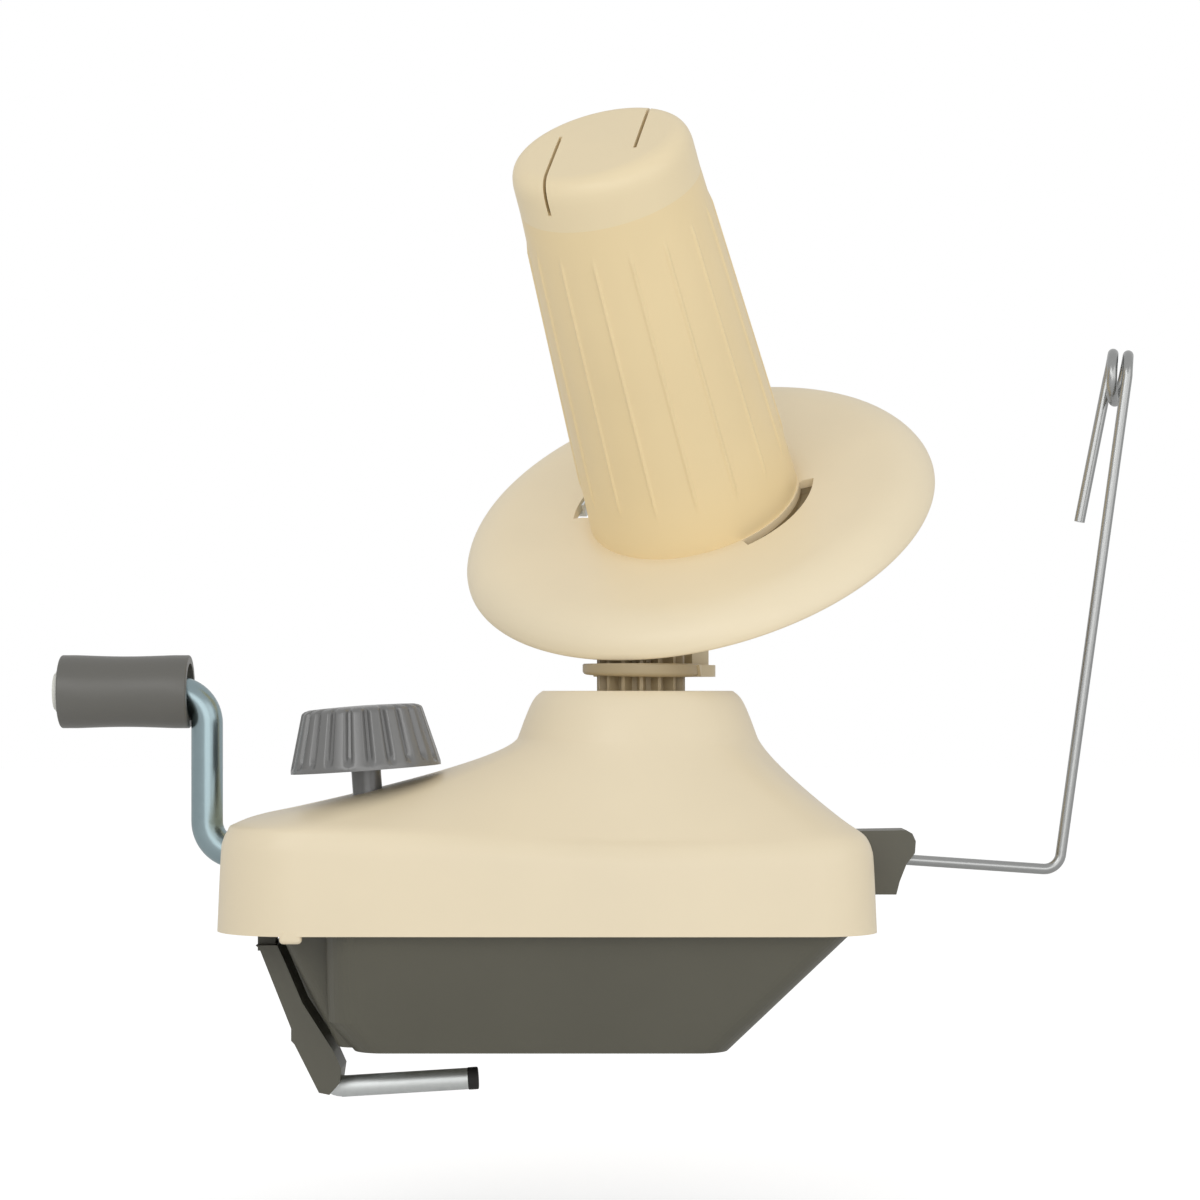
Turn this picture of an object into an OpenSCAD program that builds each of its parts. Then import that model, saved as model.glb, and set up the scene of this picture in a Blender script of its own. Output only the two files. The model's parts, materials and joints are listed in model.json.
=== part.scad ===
// Yarn ball winder: a table clamped housing with a crank, a tilted winding cone
// that orbits the upright spindle, and a bent wire that guides the yarn.
// Origin: on the upright spindle's axis, in the plane of the base's flat bottom.
// +Z up, the crank at -X, the yarn guide at +X, the front at -Y.

/* [Housing] */
// Distance from the spindle to the left end of the cover, mm
cover_left = 96.7; // [90:0.1:105]
// Distance from the spindle to the right end of the cover, mm
cover_right = 52.6; // [48:0.1:58]
// Half the width of the cover, front to back, mm
cover_half_w = 44; // [42:0.5:50]
// Corner radius at the crank end, in plan, mm
left_corner_r = 19; // [12:0.5:24]
// Corner radius at the guide end, in plan, mm
right_corner_r = 14; // [10:0.5:20]
// Outward draft of the skirt from its top to its lower edge, mm
skirt_draft = 0.8; // [0:0.1:1.5]
// Wall thickness of the cover, mm
cover_wall = 2.4; // [2:0.1:3]
// Height of the cover's lower edge, mm
seam_z = 27.4; // [26:0.1:29]
// Height of the flat top of the collar, mm
collar_z = 82.3; // [80:0.1:86]
// Radius of the flat top of the collar, mm
collar_top_r = 22.6; // [21:0.1:25]
// How far the collar sits to the left of the spindle, mm
collar_shift = 0.8; // [0:0.1:2]
// Wall thickness of the base, mm
base_wall = 2.4; // [2:0.1:3]
// Half the width of the base at its bottom, mm
base_bottom_half_w = 33; // [30:0.5:36]
// Half the width of the base under the cover, mm
base_top_half_w = 40.5; // [38:0.5:41]

/* [Crank] */
// Height of the crank's axis, mm
crank_z = 43.7; // [42:0.1:46]
// Diameter of the crank rod, mm
crank_d = 7.5; // [6:0.1:8]
// Distance from the crank's axis to the grip's axis, mm
crank_throw = 38.4; // [34:0.1:44]
// Bend radius of the rod's centre line, mm
crank_bend_r = 7.6; // [7:0.1:10]
// Distance from the spindle to the upright stretch of the rod, mm
crank_arm_x = 103.3; // [101:0.1:106]
// Length of the grip, mm
grip_len = 30.6; // [26:0.1:36]
// Diameter of the grip at its ends, mm
grip_d = 17.4; // [15:0.1:20]
// Running clearance of shafts in their bearings, on the radius, mm
run_gap = 0.05; // [0.03:0.01:0.08]

/* [Gears] */
// Teeth of the crown gear on the crank
crown_teeth = 50; // [50:1:50]
// Teeth of the pinion on the drive shaft
pinion_teeth = 12; // [12:1:12]
// Pitch radius of the pinion, mm
pinion_pitch_r = 6.3; // [6.2:0.05:6.4]
// Teeth of the fixed gear on the neck
neck_teeth = 15; // [15:1:15]
// Teeth of the ring inside the disc's rim
ring_teeth = 86; // [86:1:86]
// Tip radius of the fixed gear, mm
neck_tip_r = 10.5; // [10.4:0.05:10.6]
// Height of the top of the fixed gear, mm
neck_top_z = 95.8; // [95:0.1:96]
// Diameter of the upright drive shaft, mm
shaft_d = 6; // [5:0.1:6]

/* [Winding head] */
// Tilt of the cone's axis from upright, degrees
tilt = 36; // [36:0.5:36]
// Compass direction in which the cone leans at rest, degrees from +X
lean_turn = 245.7; // [245.7:0.1:245.7]
// Height at which the cone's axis crosses the spindle's axis, mm
apex_z = 174; // [174:0.5:174]
// Radius of the disc's lower edge, mm
disc_r = 59.6; // [59:0.1:60.5]
// Distance from the crossing point down to the disc's lower edge, mm
disc_edge_w = 61.6; // [61.6:0.1:61.6]
// Radius of the cone where it meets the disc, mm
cone_base_r = 26.3; // [25:0.1:28]
// Radius of the cone under its cap, mm
cone_top_r = 21.6; // [20:0.1:23]
// Distance from the crossing point up to the top of the cap, mm
cap_top_w = 43; // [42:0.1:46]
// Number of raised lines along the cone
cone_ribs = 16; // [12:1:24]
// Diameter of the cone's spindle pin, mm
pin_d = 6; // [5:0.1:6]

/* [Table clamp] */
// Lean of the clamp screw from upright, its top towards the crank, degrees
screw_lean = 4; // [2:0.5:6]
// Distance from the spindle to the clamp screw at the base's bottom, mm
screw_x = 59.8; // [58:0.1:61]
// Distance of the clamp screw in front of the crank's axis, mm
screw_y = 15; // [14:0.5:18]
// Diameter of the clamp screw, mm
screw_d = 6.4; // [6:0.1:6.4]
// Radius of the knob's skirt, mm
knob_r = 17.5; // [16:0.1:20]
// Radius of the knob's top, mm
knob_top_r = 14.1; // [13:0.1:16]
// Height of the knob, mm
knob_h = 14.3; // [12:0.1:16]
// Number of flutes round the knob
knob_flutes = 22; // [16:1:28]
// Diameter of the clamp's bent rod, mm
leg_d = 5; // [4.5:0.1:5.2]

/* [Yarn guide] */
// Diameter of the guide wire, mm
wire_d = 2.6; // [2:0.1:3]
// Downward slope of the wire's lower leg, degrees
wire_slope = 3.9; // [2:0.1:5]
// Outward lean of the wire's upright, degrees
wire_lean = 7.9; // [6:0.1:10]
// Mean radius of the loops of the eye, mm
eye_r = 5.6; // [5.4:0.1:6]

/* [Hidden] */
$fn = 64;
cream = [0.92, 0.855, 0.735];
cone_cream = [0.875, 0.79, 0.62];
disc_cream = [0.885, 0.83, 0.71];
gear_cream = [0.80, 0.74, 0.60];
dark_grey = [0.36, 0.355, 0.31];
knob_grey = [0.37, 0.37, 0.37];
grip_grey = [0.43, 0.425, 0.41];
zinc = [0.66, 0.73, 0.75];
steel = [0.72, 0.72, 0.71];
black = [0.07, 0.07, 0.07];
white_nylon = [0.90, 0.90, 0.87];
brass_col = [0.78, 0.64, 0.34];

// Cover
wall_top_z = 48.6;
left_rise = 3.2;
right_rise = 1.5;
side_steps = 6;
end_steps = 3;
arc_steps = 7;
neck_bore_r = 11;
collar_plate = 2.8;
inner_top_z = collar_z - collar_plate;

// Base
flange_z = 27.7;
flange_t = 2;
flange_top_z = flange_z + flange_t;
skirt_gap = 0.3;
tub_left = 72;
tub_right = 47.5;
tub_bottom_left = 66;
tub_bottom_right = 19.5;
tub_break_z = 7;
nose_top_x = 83.6;
nose_bottom_x = 70.2;
nose_half_w = 30;
nose_bottom_half_w = 26;
foot_bearing_z = 3.4;
foot_bearing_top = 13.5;

// Screws of the housing
post_r = 4.2;
post_spots = [[12, 27], [12, -27], [-60, 27], [-42, -27]];
screw_r = 1.5;
screw_head_r = 2.8;
screw_head_h = 1.8;
screw_seat_z = 22;
screw_len = 19;
boss_top = 60;

// Crank and its bearings
crank_r = crank_d / 2;
shaft_r = shaft_d / 2;
bush_r = 6.4;
bush_flange_r = 8;
bush_in_x = 84;
bush_out_x = cover_left - 0.2;
// the rod's bends start inside the outer bush and inside the grip's end: room for them there
bend_room = 1.3;
bend_depth = 0.3;
grip_mouth_r = crank_r + 3;
post_bush_x0 = 40;
post_bush_x1 = 30;
crank_end_x = 5.4;
grip_z = crank_z + crank_throw;
bend_into_grip = 3.6;
grip_right_x = crank_arm_x + crank_bend_r - bend_into_grip;
grip_left_x = grip_right_x + grip_len;
cap_out = 1.6;
grip_cap_r = 4.9;

// Crown gear and pinion
crown_pitch_r = pinion_pitch_r * crown_teeth / pinion_teeth;
crown_in_r = 23.9;
crown_out_r = 28.1;
tooth_add = 0.95;
tooth_ded = 1.25;
crown_root_x = pinion_pitch_r + tooth_ded;
crown_back_x = crown_root_x + 3;
crown_hub_x = 22;
crown_hub_r = 8.5;
pinion_z = crank_z + crown_pitch_r;
pinion_half_h = 2.9;
pinion_hub_z = 60;
pinion_hub_r = 4.7;
cross_pin_r = 1.2;

// Neck gear and drive shaft
neck_root_r = 8.0;
neck_flange_r = 14.5;
neck_flange_t = 2.6;
shaft_bottom_z = foot_bearing_z + 0.4;
shaft_top_z = 98.6;
shaft_clip_z = inner_top_z - neck_flange_t - 1.6;

// Winding head, heights w are measured along the cone's axis from the crossing point
disc_top_w = -54.2;
disc_skin = 1.9;
hub_low_w = -59.3;
washer_t = 0.8;
arm_top_w = hub_low_w - washer_t;
arm_t = 5.6;
arm_half_w = 8;
hub_top_r = 7.2;
hub_low_z = neck_top_z + 0.6;
hub_h = 6;
back_step = 1.2;
back_wall_t = 9.5;
back_wall_h = 26;
back_half_w = 8.6;
head_boss_r = 8.5;
head_boss_low_w = -71;
pin_r = pin_d / 2;
pin_top_w = 33;
ring_crest_h = 8.75;
ring_root_h = 10.95;
ring_low_w = -61.1;
ring_high_w = -56.9;
cone_wall = 2.2;
cone_cap_w = 31;
cone_web_w = 20;
cone_web_t = 4;
// yarn slits in the cap: where each one ends on the top, its direction, length, width and depth
slit_x = 4.6;
slit_y = 11;
slit_turn = 10.5;
slit_len = 28;
slit_w = 0.8;
slit_deep = 8;
cone_foot_w = disc_top_w - 0.8;
bush_wall = 1.6;
lower_bush_r = pin_r + run_gap + bush_wall;
slot_in_r = cone_base_r + 0.6;
slot_out_r = 30.6;
slot_start = 45;
slot_span = 60;
// underside of the disc: its drop at the cone, its rise at the ring teeth and the radius of that rise
under_drop = 0.8;
under_rise = 0.4;
under_r = 50;
// spring clip under the disc
clip_t = 0.6;
clip_w = 8;
clip_len = 9;
clip_up = 3.4;
clip_turn = 42;
cone_screw_r = 1.2;
cone_screw_ring = 21;
collar_low_z = 85.7;
collar_high_z = 88.5;
shroud_r = 14.4;
shroud_bore_r = neck_tip_r + 0.8;
shroud_back = 12;

// Clamp
stem_r = 3.45;
screw_thread_r = screw_d / 2;
knob_low = 64.2;
stem_low = 50.5;
screw_low = 1.2;
screw_tip_r = 2.2;
nut_low = 33;
nut_h = 6;
nut_r = 6.2;
boss_r = 8;
boss_h = 10;
web_half = 2.6;
web_low = 31;
web_high = 39;
arm_half = 7;
leg_r = leg_d / 2;
leg_rise = 3.5;
leg_z = -10;
leg_turn_x = -73.1;
leg_len = 34.5;
// a bend is this much slimmer than the straights that lap over its ends
lap = 0.3;
bend_slim = 0.02;
leg_slim = 0.12;
// lean of the rod's upper part inside the arm
leg_bend = 16.5;
tip_len = 4.6;
jaw_slot_half = 3.4;

// Yarn guide
wire_r = wire_d / 2;
wire_z = 42.7;
wire_in_x = 54.5;
wire_turn_x = 99.8;
wire_bend_r = 4;
upright_len = 115;
eye_yaw = 14;
eye_pitch = 3.6;
eye_steps = 36;
free_len = 35;
free_lean = 3.4;
holder_half_w = 6;

// Frames

// Children stand in the frame of the flyer: +X is the way the cone leans
module flyer_frame() {
    rotate([0, 0, lean_turn]) children();
}

// Children stand on the cone's axis: +Z up the cone, origin at the crossing point
module head_frame() {
    translate([0, 0, apex_z])
    rotate([0, 0, lean_turn])
    rotate([0, tilt, 0]) children();
}

// Children stand on the clamp screw's axis, from the plane of the base's bottom
module clamp_frame() {
    translate([-screw_x, -screw_y, 0])
    rotate([0, -screw_lean, 0]) children();
}

// A cylinder along +X from x0 to x1 at height z
module x_rod(x0, x1, r, z = 0) {
    translate([x0, 0, z]) rotate([0, 90, 0]) cylinder(h = x1 - x0, r = r);
}

module ring(r_in, r_out, h) {
    difference() {
        cylinder(h = h, r = r_out);
        translate([0, 0, -1]) cylinder(h = h + 2, r = r_in);
    }
}

// Cover: a loft of rings that run from the skirt's plan to the round collar

function arc_pts(cx, cy, r, a0) = [
    for (i = [0 : arc_steps]) [cx + r * cos(a0 + 90 * i / arc_steps), cy + r * sin(a0 + 90 * i / arc_steps)]
];

function between(p, q, n) = [for (i = [1 : n]) p + (q - p) * i / (n + 1)];

// The plan of the skirt, moved inwards by t
function plan(t) = let (
    rr = right_corner_r - t,
    lr = left_corner_r - t,
    rx = cover_right - right_corner_r,
    lx = -cover_left + left_corner_r,
    ry = cover_half_w - right_corner_r,
    ly = cover_half_w - left_corner_r,
    a = arc_pts(rx, -ry, rr, -90),
    b = arc_pts(rx, ry, rr, 0),
    c = arc_pts(lx, ly, lr, 90),
    d = arc_pts(lx, -ly, lr, 180)
) concat(
    a, between(a[arc_steps], b[0], end_steps),
    b, between(b[arc_steps], c[0], side_steps),
    c, between(c[arc_steps], d[0], end_steps),
    d, between(d[arc_steps], a[0], side_steps)
);

function curve(a, b, c, s) = a * (1 - s) * (1 - s) + b * 2 * s * (1 - s) + c * s * s;

// Radius, height and leftward shift up the wall in the direction of plan point p
function profile(p, t) = let (
    rho = norm(p),
    cx = p[0] / rho,
    edge = wall_top_z + (cx > 0 ? right_rise : left_rise) * cx * cx - 0.9 * t,
    a = [rho - 3.2, edge + 0.3],
    b = [30.2 - 0.9 * t, 65.9 - 0.6 * t],
    c = [28.4 - t, 71.5]
) [
    [rho + skirt_draft, seam_z - (t > 0 ? 1 : 0), 0],
    [rho, edge - 7, 0],
    [rho - 0.5, edge - 3.5, 0],
    [rho - 1.6, edge - 1.2, 0],
    [a[0], a[1], 0],
    for (s = [0.2, 0.4, 0.6, 0.8]) let (q = curve(a, b, c, s)) [q[0], q[1], s],
    [c[0], c[1], 1],
    [27.0 - t, 75.3, 1],
    [25.4 - t, min(79.1, inner_top_z + 3 - t), 1],
    [24.1 - t, min(81.1, inner_top_z + 3 - t), 1],
    [collar_top_r - t, t > 0 ? inner_top_z : collar_z, 1],
];

module cover_body(t) {
    pts = plan(t);
    n = len(pts);
    rows = [for (p = pts) profile(p, t)];
    m = len(rows[0]);
    verts = [
        for (j = [0 : m - 1]) for (i = [0 : n - 1]) let (
            u = pts[i] / norm(pts[i]),
            q = rows[i][j]
        ) [u[0] * q[0] - collar_shift * q[2], u[1] * q[0], q[1]]
    ];
    sides = [
        for (j = [0 : m - 2]) for (i = [0 : n - 1]) let (
            k = (i + 1) % n
        ) each [
            [j * n + i, (j + 1) * n + i, j * n + k],
            [j * n + k, (j + 1) * n + i, (j + 1) * n + k],
        ]
    ];
    low = [for (i = [0 : n - 1]) i];
    high = [for (i = [n - 1 : -1 : 0]) (m - 1) * n + i];
    polyhedron(points = verts, faces = concat(sides, [low], [high]));
}

module cover_posts() {
    for (s = post_spots)
        translate([s[0], s[1], flange_top_z]) cylinder(h = boss_top, r = post_r);
    // bearing block of the crank's outer bush
    x_rod(-cover_left - 5, -bush_in_x, bush_r + 2.2, crank_z);
    // tube that guides the knob's stem
    clamp_frame() translate([0, 0, stem_low + 1.3]) cylinder(h = 20, r = stem_r + 2.4);
    // block behind the guide holder
    translate([cover_right - 6, -holder_half_w - 2.5, 33])
        cube([12, 2 * holder_half_w + 5, 20]);
}

module top_cover() {
    color(cream) difference() {
        union() {
            difference() {
                cover_body(0);
                difference() {
                    cover_body(cover_wall);
                    cover_posts();
                }
            }
            // small lug under the front of the skirt
            translate([-81.4, -cover_half_w - 0.4, seam_z - 1.7]) cube([5, 2.6, 3]);
        }
        translate([0, 0, inner_top_z - 1]) cylinder(h = collar_plate + 2, r = neck_bore_r);
        x_rod(-cover_left - 6, -bush_in_x + 1, bush_r, crank_z);
        clamp_frame() translate([0, 0, stem_low]) cylinder(h = 24, r = stem_r + run_gap);
        for (s = post_spots)
            translate([s[0], s[1], flange_top_z - 1])
                cylinder(h = screw_len - 2, r = screw_r);
        holder_block();
    }
}

// Base: a tapered tub with a slanted nose and a flange that closes the skirt

module corner_stack(x0, x1, half_w, r, z, t) {
    for (x = [-x0 + r, x1 - r], y = [-half_w + r, half_w - r])
        translate([x, y, z]) cylinder(h = 0.4, r = r - t, $fn = 32);
}

module tub(t) {
    hull() {
        corner_stack(tub_left, tub_right, base_top_half_w, 7, t > 0 ? flange_top_z + 1 : flange_z, t);
        corner_stack(tub_left, tub_bottom_right + tub_break_z, base_bottom_half_w + 2, 7, tub_break_z, t);
        corner_stack(tub_bottom_left, tub_bottom_right, base_bottom_half_w, 7, t, t);
    }
}

module nose(t) {
    hull() {
        corner_stack(nose_top_x, -40, nose_half_w, 4, t > 0 ? flange_top_z + 1 : flange_z, t);
        corner_stack(nose_bottom_x, -40, nose_bottom_half_w, 4, t > 0 ? t : 0.5, t);
    }
}

module rounded_plate(x0, x1, half_w, rl, rr, h) {
    translate([-x0 + rl, -half_w, 0]) cube([x0 - rl + x1 - rr, 2 * half_w, h]);
    translate([-x0, -half_w + rl, 0]) cube([x0 + x1 - rr, 2 * (half_w - rl), h]);
    translate([0, -half_w + rr, 0]) cube([x1, 2 * (half_w - rr), h]);
    for (s = [-1, 1]) {
        translate([-x0 + rl, s * (half_w - rl), 0]) cylinder(h = h, r = rl);
        translate([x1 - rr, s * (half_w - rr), 0]) cylinder(h = h, r = rr);
    }
}

module base_flange() {
    inset = cover_wall + skirt_gap;
    translate([0, 0, flange_z])
        rounded_plate(
            cover_left - inset, cover_right - inset, cover_half_w - inset,
            left_corner_r - inset, right_corner_r - inset, flange_t
        );
}

module base_posts() {
    for (s = post_spots)
        translate([s[0], s[1], base_wall - 1]) cylinder(h = flange_top_z - base_wall + 1, r = post_r);
    // foot bearing of the drive shaft
    translate([0, 0, base_wall - 1]) cylinder(h = foot_bearing_top - base_wall + 1, r = bush_r + 2.2);
    // foot of the clamp screw
    clamp_frame() translate([0, 0, 1.5]) cylinder(h = 3.2, r = 5);
    // pedestal of the crank's inner bush, with two gussets
    translate([-post_bush_x0, -bush_r - 2.4, base_wall - 1])
        cube([post_bush_x0 - post_bush_x1, 2 * (bush_r + 2.4), crank_z - base_wall + 1]);
    x_rod(-post_bush_x0, -post_bush_x1, bush_r + 2.4, crank_z);
    translate([-(post_bush_x0 + post_bush_x1) / 2 - 1.2, -20, base_wall - 1]) cube([2.4, 40, 20]);
    // ribs across the floor
    for (x = [-22, 18])
        translate([x, -base_bottom_half_w, base_wall - 1]) cube([2, 2 * base_bottom_half_w, 7]);
    // rib along the floor
    translate([-30, -1, base_wall - 1]) cube([48, 2, 5]);
}

module jaw_space() {
    // slot of the clamp's web through the nose and floor
    translate([-nose_top_x - 14, -screw_y - jaw_slot_half, -2])
        cube([nose_top_x + 14 - screw_x + 3, 2 * jaw_slot_half, 40]);
    // notch of the clamp's arm in the flange
    translate([-nose_top_x - 14, -screw_y - arm_half - 0.8, flange_z - 2])
        cube([16.5, 2 * arm_half + 1.6, 8]);
}

module base_shell() {
    color(dark_grey) difference() {
        union() {
            difference() {
                union() {
                    tub(0);
                    nose(0);
                    base_flange();
                }
                tub(base_wall);
                nose(base_wall);
            }
            intersection() {
                base_posts();
                union() {
                    tub(base_wall - 0.6);
                    translate([-50, -12, 20]) cube([40, 24, 40]);
                }
            }
        }
        jaw_space();
        translate([0, 0, foot_bearing_z]) cylinder(h = 40, r = bush_r);
        x_rod(-post_bush_x0 - 1, -post_bush_x1 + 1, bush_r, crank_z);
        clamp_frame() translate([0, 0, screw_low - 0.3]) cylinder(h = 20, r = screw_tip_r + run_gap);
        for (s = post_spots) {
            translate([s[0], s[1], -1]) cylinder(h = screw_seat_z + 1, r = screw_head_r + 0.3);
            translate([s[0], s[1], 0]) cylinder(h = 40, r = screw_r + 0.2);
        }
    }
}

module cover_screws() {
    color(steel) for (s = post_spots) translate([s[0], s[1], screw_seat_z]) {
        difference() {
            translate([0, 0, -screw_head_h]) cylinder(h = screw_head_h, r = screw_head_r);
            for (a = [0, 90]) rotate([0, 0, a])
                translate([-1.6, -0.35, -screw_head_h - 1]) cube([3.2, 0.7, 2]);
        }
        cylinder(h = screw_len, r = screw_r);
    }
}

// A flanged bush along +X: the flange is at its x0 end
module x_bush(x0, x1, flange_t) {
    difference() {
        union() {
            x_rod(x0, x1, bush_r, crank_z);
            x_rod(x0, x0 + flange_t, bush_flange_r, crank_z);
        }
        x_rod(x0 - 1, x1 + 1, crank_r + run_gap, crank_z);
    }
}

module outer_crank_bush() {
    color(dark_grey) difference() {
        x_rod(-bush_out_x, -bush_in_x, bush_r, crank_z);
        x_rod(-bush_out_x - 1, -bush_in_x + 1, crank_r + run_gap, crank_z);
        x_rod(-bush_out_x - 1, -crank_arm_x + crank_bend_r + bend_depth, crank_r + bend_room, crank_z);
    }
}

module inner_crank_bush() {
    color(white_nylon) x_bush(-post_bush_x0 - 1.4, -post_bush_x1, 1.4);
}

module shaft_foot_bush() {
    color(white_nylon) translate([0, 0, foot_bearing_z]) difference() {
        cylinder(h = foot_bearing_top - foot_bearing_z + 1, r = bush_r);
        translate([0, 0, 0.4]) cylinder(h = 20, r = shaft_r + run_gap);
    }
}

// Gears

// One straight tooth in the XY plane, pointing along +X
module tooth_shape(r0, r1, w0, w1) {
    polygon([[r0, -w0 / 2], [r1, -w1 / 2], [r1, w1 / 2], [r0, w0 / 2]]);
}

module neck_gear() {
    step = 360 / neck_teeth;
    color(gear_cream) difference() {
        union() {
            translate([0, 0, inner_top_z]) cylinder(h = collar_plate, r = neck_bore_r);
            translate([0, 0, inner_top_z - neck_flange_t]) cylinder(h = neck_flange_t, r = neck_flange_r);
            translate([0, 0, collar_z]) rotate([0, 0, lean_turn])
                cylinder(h = neck_top_z - collar_z, r = neck_root_r);
            translate([0, 0, collar_z]) rotate([0, 0, lean_turn])
                linear_extrude(height = neck_top_z - collar_z)
                for (i = [0 : neck_teeth - 1]) rotate([0, 0, i * step])
                    tooth_shape(neck_root_r - 0.3, neck_tip_r, 2.25, 0.85);
        }
        translate([0, 0, inner_top_z - neck_flange_t - 1]) cylinder(h = 40, r = shaft_r + run_gap);
    }
}

module crown_gear() {
    step = 360 / crown_teeth;
    color(white_nylon) difference() {
        union() {
            x_rod(-crown_back_x, -crown_root_x, crown_out_r, crank_z);
            x_rod(-crown_hub_x, -crown_root_x, crown_hub_r, crank_z);
            translate([-crown_root_x, 0, crank_z])
                for (i = [0 : crown_teeth - 1]) rotate([(i + 0.5) * step, 0, 0])
                    translate([-0.3, 0, crown_in_r]) linear_extrude(height = crown_out_r - crown_in_r - 0.1)
                        tooth_shape(0, tooth_add + tooth_ded + 0.3, 1.75, 0.75);
            for (a = [0 : 60 : 300]) translate([0, 0, crank_z]) rotate([a + 30, 0, 0])
                translate([-crown_back_x - 3, -0.9, crown_hub_r - 1]) cube([3.2, 1.8, 16]);
        }
        x_rod(-crown_hub_x - 1, 0, crank_r, crank_z);
        translate([-crown_hub_x + 4, 0, crank_z - 12]) cylinder(h = 24, r = cross_pin_r);
        for (a = [0 : 60 : 300]) translate([0, 0, crank_z]) rotate([a, 0, 0])
            translate([-crown_back_x - 1, 0, 15.5]) rotate([0, 90, 0]) cylinder(h = 10, r = 4.2);
    }
}

module crown_gear_pin() {
    color(steel) translate([-crown_hub_x + 4, 0, crank_z - crown_hub_r])
        cylinder(h = 2 * crown_hub_r, r = cross_pin_r);
}

module drive_pinion() {
    step = 360 / pinion_teeth;
    color(white_nylon) difference() {
        union() {
            translate([0, 0, pinion_z - pinion_half_h]) {
                cylinder(h = 2 * pinion_half_h, r = pinion_pitch_r - tooth_ded);
                linear_extrude(height = 2 * pinion_half_h)
                for (i = [0 : pinion_teeth - 1]) rotate([0, 0, 180 + i * step])
                    tooth_shape(4.5, pinion_pitch_r + tooth_add, 2.1, 0.7);
            }
            translate([0, 0, pinion_hub_z]) cylinder(h = pinion_z - pinion_hub_z, r = pinion_hub_r);
        }
        translate([0, 0, pinion_hub_z - 1]) cylinder(h = 30, r = shaft_r);
        translate([0, 0, pinion_hub_z + 2.6]) rotate([90, 0, 0])
            cylinder(h = 20, r = cross_pin_r, center = true);
    }
}

module pinion_pin() {
    color(steel) translate([0, 0, pinion_hub_z + 2.6]) rotate([90, 0, 0])
        cylinder(h = 2 * pinion_hub_r, r = cross_pin_r, center = true);
}

// Crank

module crank_rod() {
    r = crank_bend_r;
    color(zinc) difference() {
        union() {
            x_rod(-crank_arm_x + r, -crank_end_x, crank_r, crank_z);
            translate([-crank_arm_x + r, 0, crank_z + r]) rotate([90, 0, 0])
                rotate([0, 0, 180]) rotate_extrude(angle = 90) translate([r, 0]) circle(crank_r);
            translate([-crank_arm_x, 0, crank_z + r]) cylinder(h = crank_throw - 2 * r, r = crank_r);
            translate([-crank_arm_x - r, 0, grip_z - r]) rotate([90, 0, 0])
                rotate_extrude(angle = 90) translate([r, 0]) circle(crank_r);
            x_rod(-grip_left_x - 0.1, -crank_arm_x - r, crank_r, grip_z);
        }
        translate([-crown_hub_x + 4, 0, crank_z - 12]) cylinder(h = 24, r = cross_pin_r);
        // groove of the retaining ring
        translate([-post_bush_x1 + 0.6, 0, crank_z]) rotate([0, 90, 0]) ring(crank_r - 0.5, crank_r + 1, 1);
    }
}

// A spring steel retaining ring with a gap, lying in the XY plane
module gap_ring(r_in, r_out, h) {
    difference() {
        ring(r_in, r_out, h);
        translate([r_in - 1.2, -1.1, -1]) cube([r_out, 2.2, h + 2]);
    }
}

module crank_clip() {
    color(steel) translate([-post_bush_x1 + 0.6, 0, crank_z]) rotate([0, 90, 0])
        gap_ring(crank_r - 0.5, crank_r + 2, 1);
}

module grip_end_cap() {
    color(white_nylon) difference() {
        union() {
            x_rod(-grip_left_x - cap_out, -grip_left_x - 0.1, grip_cap_r - 0.6, grip_z);
            x_rod(-grip_left_x - cap_out + 0.5, -grip_left_x - 0.1, grip_cap_r, grip_z);
        }
        x_rod(-grip_left_x - 0.2, -grip_left_x, crank_r - 1, grip_z);
    }
}

module crank_grip() {
    half = grip_len / 2;
    end_r = grip_d / 2;
    color(grip_grey) translate([-(grip_left_x + grip_right_x) / 2, 0, grip_z]) rotate([0, 90, 0])
        difference() {
            rotate_extrude() polygon([
                [crank_r + run_gap, -half], [end_r - 0.7, -half], [end_r, -half + 0.7],
                [end_r, -half + 3.5], [end_r - 0.45, -half + 8], [end_r - 0.6, 0],
                [end_r - 0.45, half - 8], [end_r, half - 3.5], [end_r, half - 0.7],
                [end_r - 0.7, half], [crank_r + run_gap, half],
            ]);
            // moulded recess at the outer end
            translate([0, 0, -half - 1]) ring(grip_cap_r + 0.5, end_r - 1.8, 3);
            // room for the rod's bend
            translate([0, 0, half - bend_into_grip - bend_depth])
                cylinder(h = bend_into_grip + 1, r = grip_mouth_r);
        }
}

// Drive shaft and flyer

module drive_shaft() {
    color(steel) difference() {
        translate([0, 0, shaft_bottom_z]) cylinder(h = shaft_top_z - shaft_bottom_z, r = shaft_r);
        translate([0, 0, pinion_hub_z + 2.6]) rotate([90, 0, 0])
            cylinder(h = 20, r = cross_pin_r, center = true);
        translate([0, 0, shaft_clip_z]) ring(shaft_r - 0.5, shaft_r + 1, 0.8);
    }
}

module shaft_clip() {
    color(steel) translate([0, 0, shaft_clip_z]) gap_ring(shaft_r - 0.5, shaft_r + 2.2, 0.8);
}

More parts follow.
